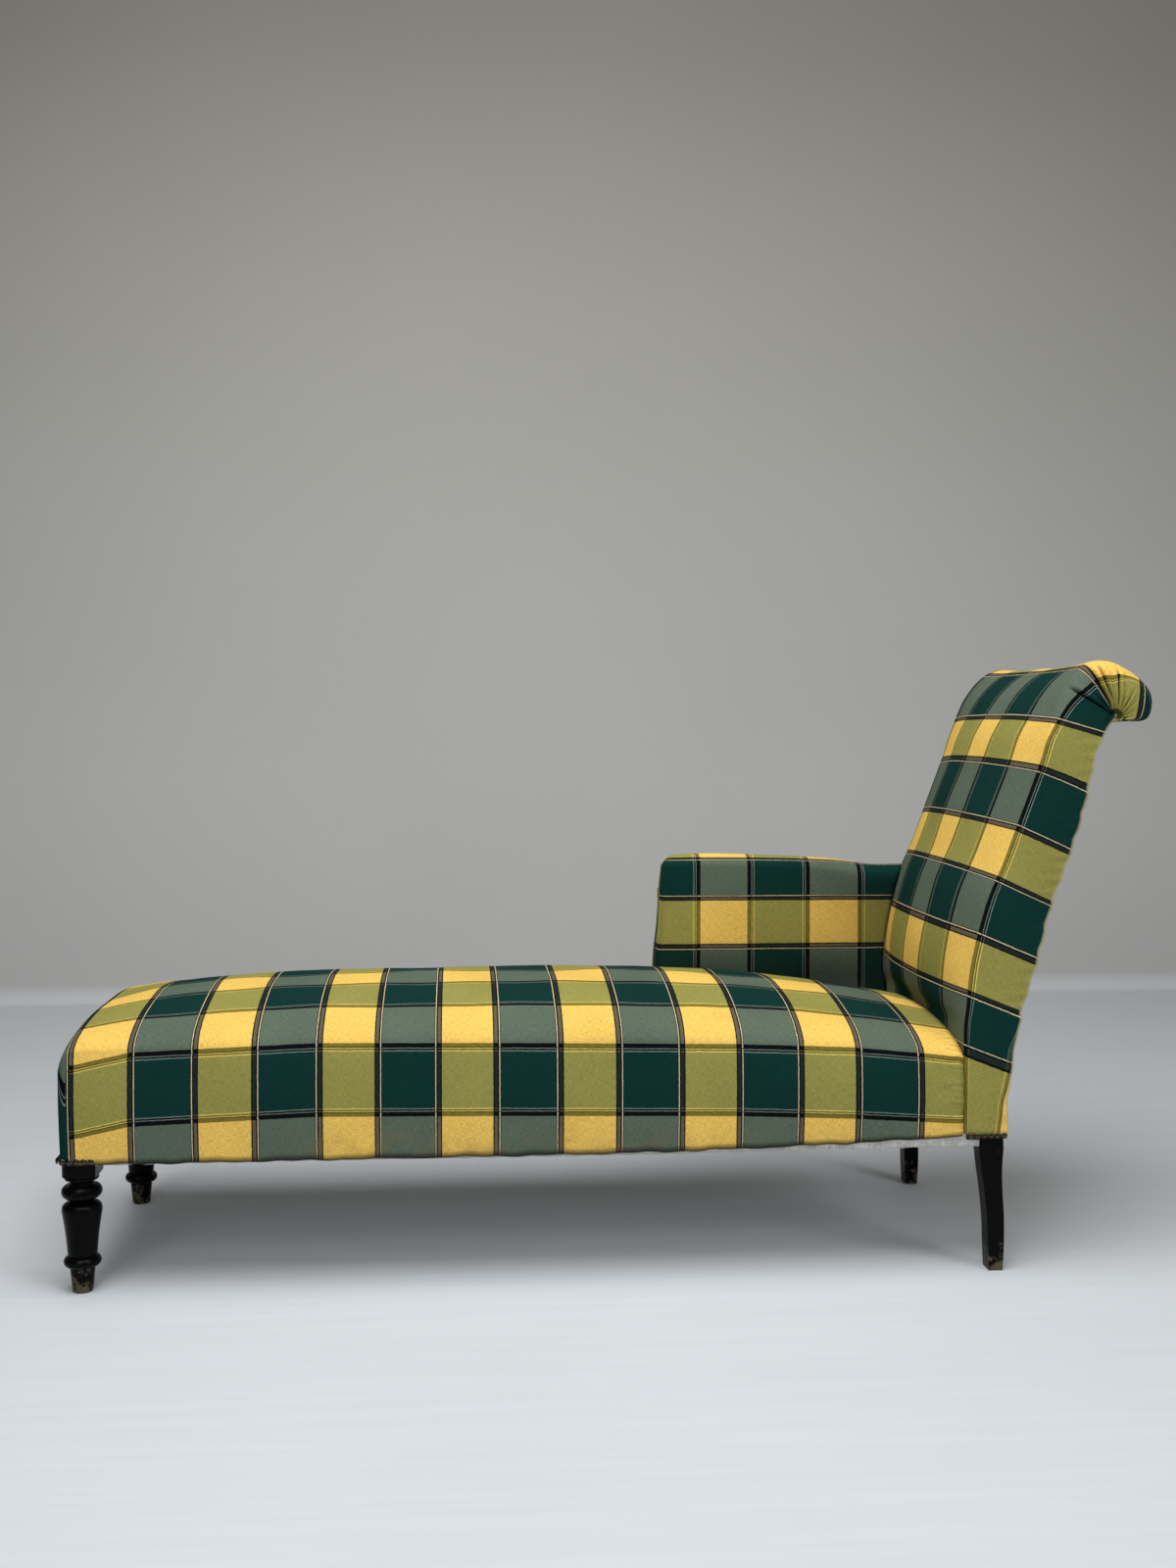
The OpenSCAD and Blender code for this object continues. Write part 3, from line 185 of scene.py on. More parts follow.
mottle = noise(tree, place, scale=1.3, detail=3.0)
mottle = ranged(tree, mottle, low=0.3, high=0.7, first=0.97)
paint = mixed(tree, 1.0, paint, mottle, "MULTIPLY")
# Shade is painted on the wall, darker towards the ceiling, and the floor's paint is brushed along
# it
shaded_high = mixed(tree, 1.0, paint, WALL_TOP_SHADE, "MULTIPLY")
paint = mixed(tree, ranged(tree, height, low=0.7, high=3.0), paint, shaded_high)
brushed = vector(tree, "MULTIPLY", place, BRUSH_STROKES)
strokes = noise(tree, brushed, scale=1.0, detail=5.0)
strokes = ranged(tree, strokes, low=0.3, high=0.7, first=0.955)
paint = mixed(tree, on_floor, paint, strokes, "MULTIPLY")
tree.links.new(paint, shader.inputs["Base Color"])
# From behind, the wall and the floor are clear, so that they never hide the couch
behind = add_node(tree, "ShaderNodeNewGeometry").outputs["Backfacing"]
tree.links.new(number(tree, "SUBTRACT", 1.0, behind), shader.inputs["Alpha"])
room.data.materials.append(room_paint)

WORLD_COLOUR = (1.0, 0.99, 0.975, 1.0)
WORLD_STRENGTH = 0.07
world = bpy.data.worlds.new("soft_room_light")
world.use_nodes = True
world.node_tree.nodes["Background"].inputs["Color"].default_value = WORLD_COLOUR
world.node_tree.nodes["Background"].inputs["Strength"].default_value = WORLD_STRENGTH
bpy.context.scene.world = world


def soft_lamp(name, spot, aim, size, power):
    """A square area lamp at spot that points at aim."""
    data = bpy.data.lights.new(name, "AREA")
    data.shape = "SQUARE"
    data.size = size
    data.energy = power
    lamp = bpy.data.objects.new(name, data)
    way = np.subtract(aim, spot)
    flat = math.hypot(way[0], way[1])
    lamp.location = spot
    lamp.rotation_euler = (math.atan2(flat, -way[2]), 0, math.atan2(-way[0], way[1]))
    bpy.context.scene.collection.objects.link(lamp)


soft_lamp("ceiling_lamp", spot=(-0.3, -0.9, 3.1), aim=(0, 0.1, 0.4), size=2.4, power=97)
soft_lamp("right_lamp", spot=(3.1, -3.3, 2.5), aim=(0, 0.2, 0.4), size=1.8, power=52)
soft_lamp("front_lamp", spot=(-1.6, -4.4, 2.9), aim=(-0.4, 1.2, 0.7), size=2.0, power=40)


# Check cloth: a soft wool twill woven of yellow and bottle green yarns, so that yellow crosses
# yellow, green crosses green, and the two mix to olive and to grey green in the other checks.
# Every cover of the couch is cut from it; its places are given in metres of cloth.
CHECK_ALONG = 0.095
CHECK_ACROSS = 0.0995
YELLOW = linear(232, 192, 96)
OLIVE = linear(145, 141, 74)
GREY_GREEN = linear(90, 104, 89)
BOTTLE = linear(14, 50, 46)
BLACK = linear(11, 16, 18)
TAUPE = linear(96, 90, 74)
DARK_TAUPE = linear(32, 42, 40)
CREAM = linear(206, 189, 152)
PALE_LINE = linear(216, 200, 104)
GREEN_LINE = linear(112, 128, 118)
BROWN_OLIVE = linear(122, 108, 46)
SOIL = linear(128, 104, 66)
RAW_EDGE = linear(34, 30, 26)
# Near black of the shade painted into creases and crevices
PAINTED_SHADE_COLOUR = linear(10, 14, 12)
THREAD = linear(196, 190, 150)
# Each stripe starts at this distance from the middle of a yellow check. Across the cloth, each
# kind of row has its own colours of the stripes that run along.
COLUMN_STARTS = (0.0, 0.0403, 0.0420, 0.0473, 0.0497, 0.0509, 0.0522)
ROW_STARTS = (0.0, 0.0425, 0.0487, 0.0500, 0.0513, 0.0540, 0.0553)
ROW_KINDS = ("yellow", "dark", "black", "line", "dark", "line", "green")
ROW_COLOURS = {
    "yellow": (YELLOW, BLACK, TAUPE, BLACK, CREAM, BLACK, GREY_GREEN),
    "green": (OLIVE, BLACK, DARK_TAUPE, BLACK, CREAM, BLACK, BOTTLE),
    "line": (PALE_LINE, BLACK, TAUPE, BLACK, CREAM, BLACK, GREEN_LINE),
    "dark": (BROWN_OLIVE, BLACK, BLACK, BLACK, CREAM, BLACK, BLACK),
}
WHITE, NONE = (1.0, 1.0, 1.0, 1.0), (0.0, 0.0, 0.0, 1.0)
RIB = 0.0017
YARN_WANDER = 0.0006
# How far the painted shade in creases and crevices goes towards that near black
PAINTED_SHADE_SHARE = 0.72
# Waves of a slub to a metre, across its yarn and along it
SLUB_ACROSS, SLUB_ALONG = 1400.0, 120.0
# How much slubs, loose fibres and broad drift change the cloth's shade
SLUB_SHARE, FIBRE_SHARE, DRIFT_SHARE = 0.9, 0.6, 0.3


def stripes(tree, distance, span, starts, colours):
    """Colour of the stripe that the distance falls in, without blending between stripes."""
    share = number(tree, "DIVIDE", distance, span)
    ramp = add_node(tree, "ShaderNodeValToRGB", {0: share})
    bands = ramp.color_ramp
    bands.interpolation = "CONSTANT"
    bands.elements[0].color = colours[0]
    bands.elements[1].position = starts[1] / span
    bands.elements[1].color = colours[1]
    for start, colour in zip(starts[2:], colours[2:]):
        bands.elements.new(start / span).color = colour
    return ramp.outputs["Color"]


def new_group(name, vectors, values, results):
    """An empty node group, given vectors and values by name, and the values it results in."""
    group = bpy.data.node_groups.new(name, "ShaderNodeTree")
    for sockets, way, kind in (
        (vectors, "INPUT", "NodeSocketVector"),
        (values, "INPUT", "NodeSocketFloat"),
        (results, "OUTPUT", "NodeSocketFloat"),
    ):
        for socket in sockets:
            group.interface.new_socket(socket, in_out=way, socket_type=kind)
    given = group.nodes.new("NodeGroupInput").outputs
    return group, given, group.nodes.new("NodeGroupOutput").inputs


def twill_group():
    """Twill ribs, loose fibres and slubs: Height for the bump and Shade for the colour.

    A rib is a sine of the sum of along and across. Slubs are the sum of two noises, each drawn
    out one way, fibres a fine noise and drift a broad one, and Shade is 1 on average.
    """
    group, given, made = new_group("twill", ["Place"], ["Rib"], ["Height", "Shade"])
    place = given["Place"]
    parts = add_node(group, "ShaderNodeSeparateXYZ", {0: place}).outputs
    slant = number(group, "ADD", parts["X"], parts["Y"])
    turns = number(group, "MULTIPLY", slant, number(group, "DIVIDE", 1.0, given["Rib"]))
    wave = number(group, "SINE", number(group, "MULTIPLY", turns, 2 * math.pi))
    warp, weft = (
        noise(group, vector(group, "MULTIPLY", place, stretch), scale=1.0, detail=2.0)
        for stretch in ((SLUB_ACROSS, SLUB_ALONG, 1.0), (SLUB_ALONG, SLUB_ACROSS, 1.0))
    )
    slubs = number(group, "ADD", warp, weft)
    fibre = noise(group, place, scale=420.0, detail=4.0)
    drift = noise(group, place, scale=9.0, detail=3.0)
    shade = 1 - SLUB_SHARE - (FIBRE_SHARE + DRIFT_SHARE) / 2
    for part, share in ((slubs, SLUB_SHARE), (fibre, FIBRE_SHARE), (drift, DRIFT_SHARE)):
        shade = number(group, "MULTIPLY_ADD", part, share, shade)
    group.links.new(number(group, "MULTIPLY_ADD", wave, 0.25, slubs), made["Height"])
    group.links.new(shade, made["Shade"])
    return group


def patches_group():
    """Patches of dirt, age or rust: a noise as Mask, 0 up to Low and 1 from High on."""
    values = ["Scale", "Detail", "Low", "High"]
    group, given, made = new_group("patches", ["Place"], values, ["Mask"])
    spots = noise(group, given["Place"], given["Scale"], given["Detail"])
    group.links.new(ranged(group, spots, given["Low"], given["High"]), made["Mask"])
    return group


TWILL = twill_group()
PATCHES = patches_group()


def placed(tree, group, **feeds):
    """What a group puts out in this material, with the material's own values."""
    return add_node(tree, "ShaderNodeGroup", feeds, node_tree=group).outputs


def finish_paint(tree, shader, colour, height, strength, distance):
    """Joins a material's colour and the bump of its height to its shader."""
    tree.links.new(colour, shader.inputs["Base Color"])
    feeds = {"Height": height, "Strength": strength, "Distance": distance}
    bump = add_node(tree, "ShaderNodeBump", feeds)
    tree.links.new(bump.outputs["Normal"], shader.inputs["Normal"])


def check_cloth():
    """Check cloth: yarn stripes by place on the cloth, twill over them, and the marks of use.

    Soil comes in blotches, raw is the cut edge and sewn its thread. One more mark paints
    shade into creases and crevices.
    """
    made, tree, shader, place = material(
        "check_cloth", follows="UV", Roughness=0.95, Specular_IOR_Level=0.05
    )
    wander = add_node(tree, "ShaderNodeTexNoise", {"Vector": place, "Scale": 160.0, "Detail": 2.0})
    widest, least = (2 * YARN_WANDER, 2 * YARN_WANDER, 0.0), (-YARN_WANDER, -YARN_WANDER, 0.0)
    wander = vector(tree, "MULTIPLY_ADD", wander.outputs["Color"], widest, least)
    drawn = vector(tree, "ADD", place, wander)
    parts = add_node(tree, "ShaderNodeSeparateXYZ", {0: drawn}).outputs
    along = number(tree, "PINGPONG", parts["X"], CHECK_ALONG)
    across = number(tree, "PINGPONG", parts["Y"], CHECK_ACROSS)
    rows = {
        kind: stripes(tree, along, CHECK_ALONG, COLUMN_STARTS, colours)
        for kind, colours in ROW_COLOURS.items()
    }
    rows["black"] = BLACK
    colour = rows["yellow"]
    for kind in ("green", "line", "dark", "black"):
        masks = [WHITE if row == kind else NONE for row in ROW_KINDS]
        here = stripes(tree, across, CHECK_ACROSS, ROW_STARTS, masks)
        colour = mixed(tree, here, colour, rows[kind])
    twill = placed(tree, TWILL, Place=place, Rib=RIB)
    colour = mixed(tree, 1.0, colour, twill["Shade"], "MULTIPLY")
    soil, raw, painted_shade, sewn = (
        add_node(tree, "ShaderNodeAttribute", attribute_name=mark).outputs["Fac"]
        for mark in ("soil", "raw", "painted_shade", "sewn")
    )
    blotch = placed(tree, PATCHES, Place=place, Scale=26.0, Detail=5.0, Low=0.42, High=0.62)
    colour = mixed(tree, number(tree, "MULTIPLY", soil, blotch["Mask"]), colour, SOIL)
    colour = mixed(tree, raw, colour, RAW_EDGE)
    # Painted shade: creases and crevices are darkened towards a near black
    colour = mixed(tree, painted_shade, colour, mixed(tree, PAINTED_SHADE_SHARE, colour, PAINTED_SHADE_COLOUR))
    colour = mixed(tree, sewn, colour, THREAD)
    finish_paint(tree, shader, colour, twill["Height"], strength=0.35, distance=0.0006)
    return made


CHECK_CLOTH = check_cloth()

# Seat cover: one width of check cloth drawn over the crowned stuffing, down both long sides
# and over the foot edge, tacked under the rails with its cut edge left raw. At the foot corners
# it is folded into a pleat, and beside the arm its far side goes down between arm and seat.
COVER_THICK = 0.0035
seat_low, seat_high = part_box("seat_cover")
FOOT_FACE_X, HEM_Z = seat_low[0], seat_low[2]
SEAT_LENGTH = seat_high[0] - FOOT_FACE_X
SIDE_Y = 0.2588
FOOT_EDGE_Z = 0.335
CORNER_RADIUS = 0.0151
ARM_START = 0.978
ARM_INNER_Y = 0.1992
ARM_SEAM_Z = 0.346
# The cut edge rises towards the head end, from the start of the rise
HEM_RISE, RISE_START, RISE_RUN = 0.016, -0.1097, 0.665
# Both lines of the top rise round the foot edge and fall over the last share of the seat
SHOULDER_RISE, SHOULDER_ROUND, SHOULDER_FALL = 0.043, 0.030, 0.036
CROWN_RISE, CROWN_ROUND, CROWN_FALL = 0.070, 0.027, 0.065
CROWN_SWELL, SWELL_RUN = 0.050, 0.150
FALL_SHARE = 0.47
SIDE_SWELL = 0.0054
FOOT_LEAN, HEM_LEAN = 0.0012, 0.0024
TACK_STEP, TACK_DENT = 0.058, 0.0011
PLEAT_X, PLEAT_SLOPE, PLEAT_LIFT, PLEAT_DRAWN = 0.017, 0.0004, 0.0016, 0.65
# Cloth gathered below the second line of stripes, from this place on and over this run
GATHERED, GATHERED_FROM = 0.055, (0.37, 0.18)
# At the seam with the back the cover is pulled in, and it puckers a little before that
SEAM_TUCK, SEAM_RUN = 0.0030, 0.006
PUCKER, PUCKER_AT, PUCKER_RUN = 0.0012, 0.022, 0.014
OLD_HOLLOW = 0.0022
# Soil on the near side just above the hem, in spots by share, place and spread
SOIL_Z, SOIL_HIGH = 0.215, 0.022
SOIL_SPOTS = ((1.0, -0.36, 0.11), (0.3, 0.0, 0.3))
RAW_WIDTH = 0.0016
# Stations stand closer over the run at the foot edge, the first just inside the foot face; the
# crown of the full station shares out the cloth that the foot edge takes up
FOOT_GAP, FOOT_RUN, FULL_STATION = 0.00002, 0.16, 40
FOOT_STATIONS, MIDDLE_STATIONS, ARM_STATIONS = 46, 92, 52
SIDE_POINTS, CROWN_POINTS = 16, 84
MIDDLE_POINT = SIDE_POINTS + CROWN_POINTS // 2
# Places along the seat where the middles of its yellow checks lie, 0.19 m of cloth apart
YELLOW_AT = np.array([-0.7937, -0.6077, -0.4177, -0.2367, -0.0447, 0.1463, 0.3358, 0.5313])
# Height of the second line of stripes on the near side, along the couch
STRIPE_X = np.array([-0.863, -0.832, -0.752, -0.471, -0.201, 0.183, 0.370, 0.553])
STRIPE_Z = np.array([0.348, 0.354, 0.371, 0.381, 0.377, 0.369, 0.361, 0.343])


def joined(*parts):
    """Grids joined side by side, so that each row goes on."""
    return np.concatenate(parts, axis=1)


def climb(value, start, run):
    """0 up to the start and 1 beyond the run, even between; a run below 0 goes down."""
    return np.clip((value - start) / run, 0, 1)


def rounded(share):
    """Quarter-circle rise from 0 to 1, flat beyond 1."""
    return np.sqrt(np.clip(1 - (1 - np.minimum(share, 1)) ** 2, 0, 1))


def dome(share, fullness=1.85):
    """Crown across the couch: full height in the middle, upright at the sides."""
    return np.sqrt(np.clip(1 - np.abs(share) ** fullness, 0, 1))


def bell(value, middle, spread):
    """1 where the value is at the middle, falling away to both sides as a bell."""
    return np.exp(-(((value - middle) / spread) ** 2))


def seat_heights(d):
    """Heights of the seat's side shoulder and of its crown, at distance d from the foot face.

    Both rise from the foot edge along a quarter circle, the crown then swells towards its full
    height by an exponential, and both fall to the head end by a power of the last share.
    """
    fall_start = (1 - FALL_SHARE) * SEAT_LENGTH
    falling = np.clip((d - fall_start) / (FALL_SHARE * SEAT_LENGTH), 0, None) ** 2.3
    shoulder = FOOT_EDGE_Z + SHOULDER_RISE * rounded(d / SHOULDER_ROUND)
    crown = FOOT_EDGE_Z + CROWN_RISE * rounded(d / CROWN_ROUND)
    crown = crown + CROWN_SWELL * (1 - np.exp(-d / SWELL_RUN))
    return shoulder - SHOULDER_FALL * falling, crown - CROWN_FALL * falling


def hem_height(x):
    """Height of the cut edge along the couch, which rises by the square of the way."""
    return HEM_Z + HEM_RISE * climb(x, RISE_START, RISE_RUN) ** 2


def tucked(z):
    """How far the foot face stands back from its fullest place, by height."""
    return FOOT_LEAN * climb(z, 0.42, -0.05) + HEM_LEAN * climb(z, 0.305, -0.10) ** 1.4


def lengths(points):
    """Distance walked along each row of points from its first one."""
    steps = np.linalg.norm(np.diff(points, axis=1), axis=-1)
    return joined(np.zeros((len(points), 1)), np.cumsum(steps, axis=1))


def settled(x, y):
    """Slight hollows and rises of old stuffing, between -1 and 1, by place on the couch."""
    wide = np.sin(17.0 * x + 0.6) * np.sin(20.3 * y + 1.4)
    small = np.sin(41.6 * x + 1.9) * np.cos(37.0 * y)
    return 0.65 * wide + 0.35 * small


def cloth_along(x):
    """Place along the cloth for a place along the seat, drawn through the yellow checks."""
    known = 2 * CHECK_ALONG * np.arange(len(YELLOW_AT))
    return np.where(x < YELLOW_AT[0], x - YELLOW_AT[0], np.interp(x, YELLOW_AT, known))


def seat_grid():
    """Seat cover: stations along the couch, each with the near side, the crown and the far side.

    A side goes straight up from the hem and swells by half a sine; the crown stands above the
    shoulders by the dome's share. Gives points, places on the cloth and the marks of use.
    """
    near_foot = np.linspace(0, 1, FOOT_STATIONS) ** 2 * FOOT_RUN
    up_to_arm = np.linspace(FOOT_RUN + 0.005, ARM_START - 0.008, MIDDLE_STATIONS)
    past_arm = np.linspace(ARM_START - 0.006, SEAT_LENGTH - 0.0005, ARM_STATIONS)
    d = np.concatenate([near_foot, up_to_arm, past_arm])[:, None]
    d[0] = FOOT_GAP
    beside_arm = d > ARM_START - 0.007
    x = FOOT_FACE_X + d
    shoulder, crown = seat_heights(d)
    plan = SIDE_Y - CORNER_RADIUS * (1 - rounded(d / CORNER_RADIUS))
    hem = hem_height(x) + 0.0009 * np.sin(47 * x) + 0.0006 * np.sin(131 * x + 1)
    up = np.linspace(0, 1, SIDE_POINTS + 1)[:-1][None, :]
    tacks = TACK_DENT * np.sin(2 * math.pi * x / TACK_STEP) * (1 - up) ** 3
    folded = 1 / (1 + np.exp(-(d - PLEAT_X) / PLEAT_SLOPE))
    swell = SIDE_SWELL * np.sin(math.pi * up) + PLEAT_LIFT * folded * (up > 0) + tacks
    swell = swell * np.clip(d / 0.03, 0.15, 1)
    to_seam = SEAT_LENGTH - d
    uneven = 1 + 0.5 * np.sin(21 * up + 1) + 0.3 * np.sin(47 * up)
    swell = swell - SEAM_TUCK * uneven * np.exp(-to_seam / SEAM_RUN) * np.clip(up * 5, 0, 1)
    swell = swell + PUCKER * np.sin(26 * up + 2) * bell(to_seam, PUCKER_AT, PUCKER_RUN)
    near = grid(x, -plan - swell, hem + (shoulder - hem) * up)
    turn = np.linspace(0, math.pi, CROWN_POINTS)[None, :]
    limit = np.where(beside_arm, ARM_INNER_Y - 0.001, plan)
    y = (limit - plan) / 2 - (limit + plan) / 2 * np.cos(turn)
    bulge = dome(y / plan, 1.85 + 1.3 * np.exp(-d / 0.045))
    z = shoulder + (crown - shoulder) * bulge
    z = z + OLD_HOLLOW * settled(x, y) * bulge * climb(d, 0, 0.1)
    down = up[:, ::-1]
    low = np.where(beside_arm, ARM_SEAM_Z, hem)
    far_swell = np.where(beside_arm, 0, SIDE_SWELL * np.sin(math.pi * down))
    far = grid(x, limit + far_swell, low + (z[:, -1:] - low) * down)
    points = joined(near, grid(x, y, z), far)
    points[..., 0] += tucked(points[..., 2]) * np.exp(-d / 0.03)
    walked = lengths(points)
    # The stripes keep to their measured heights on the near side
    line = np.interp(x, STRIPE_X, STRIPE_Z) - hem
    gathered = GATHERED * climb(x, *GATHERED_FROM)
    across = walked - line + 1.5 * CHECK_ACROSS + gathered * np.minimum(walked - line, 0)
    # Inside the pleat the cloth is drawn up, so that its stripes cross it close to the top
    shoulder_place = across[:, SIDE_POINTS : SIDE_POINTS + 1]
    hidden = (1 - folded) * (np.arange(across.shape[1]) < SIDE_POINTS)
    across = across + hidden * PLEAT_DRAWN * (shoulder_place - across)
    # Over the foot edge the cloth runs on by the length of its curve along the middle
    curve = lengths(points[:, MIDDLE_POINT][None])[0][:, None]
    last = FOOT_STATIONS - 1
    extra = np.clip((curve[last] - curve) - (d[last] - d), 0, None)
    weight = np.zeros(across.shape[1])
    weight[SIDE_POINTS : SIDE_POINTS + CROWN_POINTS] = bulge[FULL_STATION]
    along = cloth_along(x - extra * weight[None, :])
    spots = sum(share * bell(x, middle, spread) for share, middle, spread in SOIL_SPOTS)
    near_hem = bell(points[..., 2], SOIL_Z, SOIL_HIGH) * (points[..., 1] < -0.2)
    soil = np.clip(near_hem * spots, 0, 0.3)
    raw = climb(walked, 1.4 * RAW_WIDTH, -RAW_WIDTH)
    return points, grid(along, across), {"soil": soil, "raw": raw}


def sheet(
    name,
    node,
    points,
    rests_on,
    places=None,
    flip=True,
    thickness=COVER_THICK,
    slot="check_cloth",
    paint=CHECK_CLOTH,
    **marks,
):
    """A piece of cloth over the grid of points, with its paint and thickness, attached to the root
    in place of the CAD piece of the given node, which is hidden.
    """
    piece = surface(name, points, places, flip, **marks)
    piece.data.materials.append(paint)
    solid = piece.modifiers.new("thickness", "SOLIDIFY")
    solid.thickness = thickness
    solid.offset = -1
    solid.use_even_offset = False
    length = float(lengths(points.transpose(1, 0, 2)).max())
    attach(piece, "root")
    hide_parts(node)


seat_points, seat_places, seat_marks = seat_grid()
sheet("seat_cover_cloth", "seat_cover", seat_points, ["seat_pad"], seat_places, **seat_marks)

# Foot face: the same cloth turned down over the foot edge and wrapped round the corners
# under the pleats of the long sides, tacked below the foot rail.
FACE_HALF = SIDE_Y - CORNER_RADIUS + 0.0005
FACE_CLEAR = 0.0002
FACE_SWELL = 0.0012
face_y = np.linspace(-FACE_HALF, FACE_HALF, 60)[None, :]
face_down = np.linspace(0, 1, 22)[:, None]
face_hem = HEM_Z + 0.0008 * np.sin(60 * face_y)
face_z = FOOT_EDGE_Z + (face_hem - FOOT_EDGE_Z) * face_down
face_bulge = FACE_SWELL * np.sin(math.pi * face_down) * dome(face_y / FACE_HALF)
foot_points = grid(FOOT_FACE_X + FACE_CLEAR + tucked(face_z) - face_bulge, face_y, face_z)
# The stripes go on from those of the crown, a little beside its middle
foot_along = seat_places[0, MIDDLE_POINT - 8, 0] - (FOOT_EDGE_Z - face_z)
foot_across = seat_places[0, MIDDLE_POINT, 1] + face_y - seat_points[0, MIDDLE_POINT, 1]
foot_places = grid(foot_along, foot_across)
sheet("foot_face_cloth", "seat_cover", foot_points, ["foot_seat_rail"], foot_places, flip=False)

# Back cover: one piece of cloth from the seat up the swollen front, over the scroll and in to
# the neck behind it. It turns round both edges onto the sides, where it is drawn back to the
# posts, and on the scroll's ends it is laid in pleats that meet at the neck.
SEAM_X = 0.55398
BACK_X = 0.62598
BACK_LOW_Z = 0.2153
FRONT_LOW_Z = 0.2956
REAR_RUN, REAR_HIGH = 0.174, 0.673
BACK_THICK = 0.108
FRONT_SWELL = 0.028
CROWN_POWER = 2.4
NECK = np.array([0.79998, 0.8883])
SCROLL_DEEP = 0.171
SCROLL_HIGH = 0.091
HUB = 0.004
# Shares of those sizes at the stations of the rear line, and of the scroll after the tenth
REAR_RISE = np.array([0, 0.12, 0.265, 0.315, 0.42, 0.56, 0.66, 0.769, 0.883, 0.943, 1])
REAR_LEAN = np.array([0, 0.015, 0.105, 0.14, 0.27, 0.405, 0.545, 0.68, 0.775, 0.84, 1])
THICK = np.array([0, 0, 0, 0.86, 1, 1, 0.97, 0.94, 0.83, 0.82, 0.965])
SWELL = np.array([0, 0, 0, 0.7, 0.92, 1, 1, 1, 0.93, 0.85, 0.6])
SCROLL_X = np.array(
    [-0.526, -0.392, -0.21, -0.023, 0.152, 0.287, 0.363, 0.386, 0.368, 0.322, 0.246, 0.15, 0.055]
)
SCROLL_Z = np.array(
    [0.407, 0.769, 0.989, 1, 0.857, 0.67, 0.495, 0.319, 0.11, -0.01, -0.055, -0.05, -0.02]
)
SCROLL_SWELL = np.array(
    [0.0084, 0, -0.0056, -0.007, -0.007, -0.0062, -0.005, -0.0034, -0.0017, 0, 0, 0, 0]
)
ROW_STEPS = 20
FRONT_ROWS = 10 * ROW_STEPS
# Heights on the near edge where the dark stripes cross it, and the two on the scroll, given as
# stations of the outline
BACK_STRIPE_Z = np.array([0.365, 0.450, 0.543, 0.632, 0.716, 0.806, 0.887])
SCROLL_STRIPES = (12.45, 16.0)
# Pleats on the scroll's ends: direction from the neck in degrees, depth, and how far they run
PLEATS = (
    (143, 0.0085, 1.05),
    (131, 0.0028, 0.60),
    (114, 0.0085, 1.12),
    (104, 0.0070, 1.08),
    (95, 0.0022, 0.50),
    (83, 0.0060, 0.98),
    (68, 0.0030, 0.60),
    (54, 0.0040, 0.66),
    (38, 0.0024, 0.55),
    (20, 0.0022, 0.50),
    (2, 0.0022, 0.45),
)
DEEP_CREASE = 0.0055
SEWN_WIDTH = 0.0020
# Fall of the stripes towards the rear on the sides, and near the scroll; below the first dark
# stripe the side takes up less cloth
SIDE_FALL, HIGH_FALL, LOW_CLOTH_SHARE = 0.39, 0.26, 0.45
# A dark stripe stands nearly upright on the scroll's ends, at this place
UPRIGHT_X, UPRIGHT_Z, UPRIGHT_LEAN = 0.8455, 0.946, 0.14
# Stations from which the sides take the scroll's stripes, those stand upright, and the rim's
# checks shift, each with its run in stations
SCROLL_FROM, UPRIGHT_FROM, RIM_FROM = (10.1, 1.2), (14.4, 1.4), (13.6, 2.2)
REAR_SHIFT, RIM_SHIFT = 0.066, 0.052
# Roundness of the corner on the back and what the scroll adds to it
EDGE_ROUND, SCROLL_ROUND = 0.006, 0.026
SIDE_PUFF, SCROLL_PUFF, NECK_DRAW = 0.0022, 0.0012, 0.007
SIDE_TACKS, SIDE_TACK_DENT = 0.021, 0.0010
EDGE_STEP, EDGE_WAVE = 0.047, 0.0014


def smooth_line(points, steps):
    """Catmull-Rom curve through the rows of points, with even steps between each two."""
    held = np.concatenate([points[:1], points, points[-1:]])
    t = (np.arange(steps) / steps)[None, :, None]
    a, b, c, e = (held[k : len(points) - 1 + k][:, None] for k in range(4))
    line = 0.5 * (
        2 * b
        + (c - a) * t
        + (2 * a - 5 * b + 4 * c - e) * t**2
        + (3 * b - a - 3 * c + e) * t**3
    )
    return np.concatenate([line.reshape(-1, points.shape[1]), points[-1:]])


def back_lines():
    """Outline of the back in x and z from the seat over the scroll, and the line behind it.

    Three more columns hold the side's height, the front's swell and the share of the scroll, all
    drawn through the same stations by one smooth line.
    """
    rear = grid(BACK_X + REAR_RUN * REAR_LEAN, BACK_LOW_Z + REAR_HIGH * REAR_RISE)
    front = grid(np.maximum(SEAM_X, rear[:, 0] - BACK_THICK * THICK), rear[:, 1])
    front[:3, 0] = SEAM_X
    front[:3, 1] = FRONT_LOW_Z + (rear[2, 1] - FRONT_LOW_Z) * np.arange(3) / 2
    outline = np.concatenate([front, NECK + grid(SCROLL_DEEP * SCROLL_X, SCROLL_HIGH * SCROLL_Z)])
    way = outline[len(front) - 1 :] - NECK
    hub = NECK + HUB * way / np.linalg.norm(way, axis=-1, keepdims=True)
    behind = np.concatenate([rear[:-1], hub])
    station = np.arange(len(outline))
    side_z = np.where(station < 3, behind[:, 1], outline[:, 1])
    swell = np.concatenate([FRONT_SWELL * SWELL, SCROLL_SWELL])
    on_scroll = climb(station, 9, 3)
    columns = joined(outline, behind, grid(side_z, swell, on_scroll))
    return smooth_line(columns, ROW_STEPS)


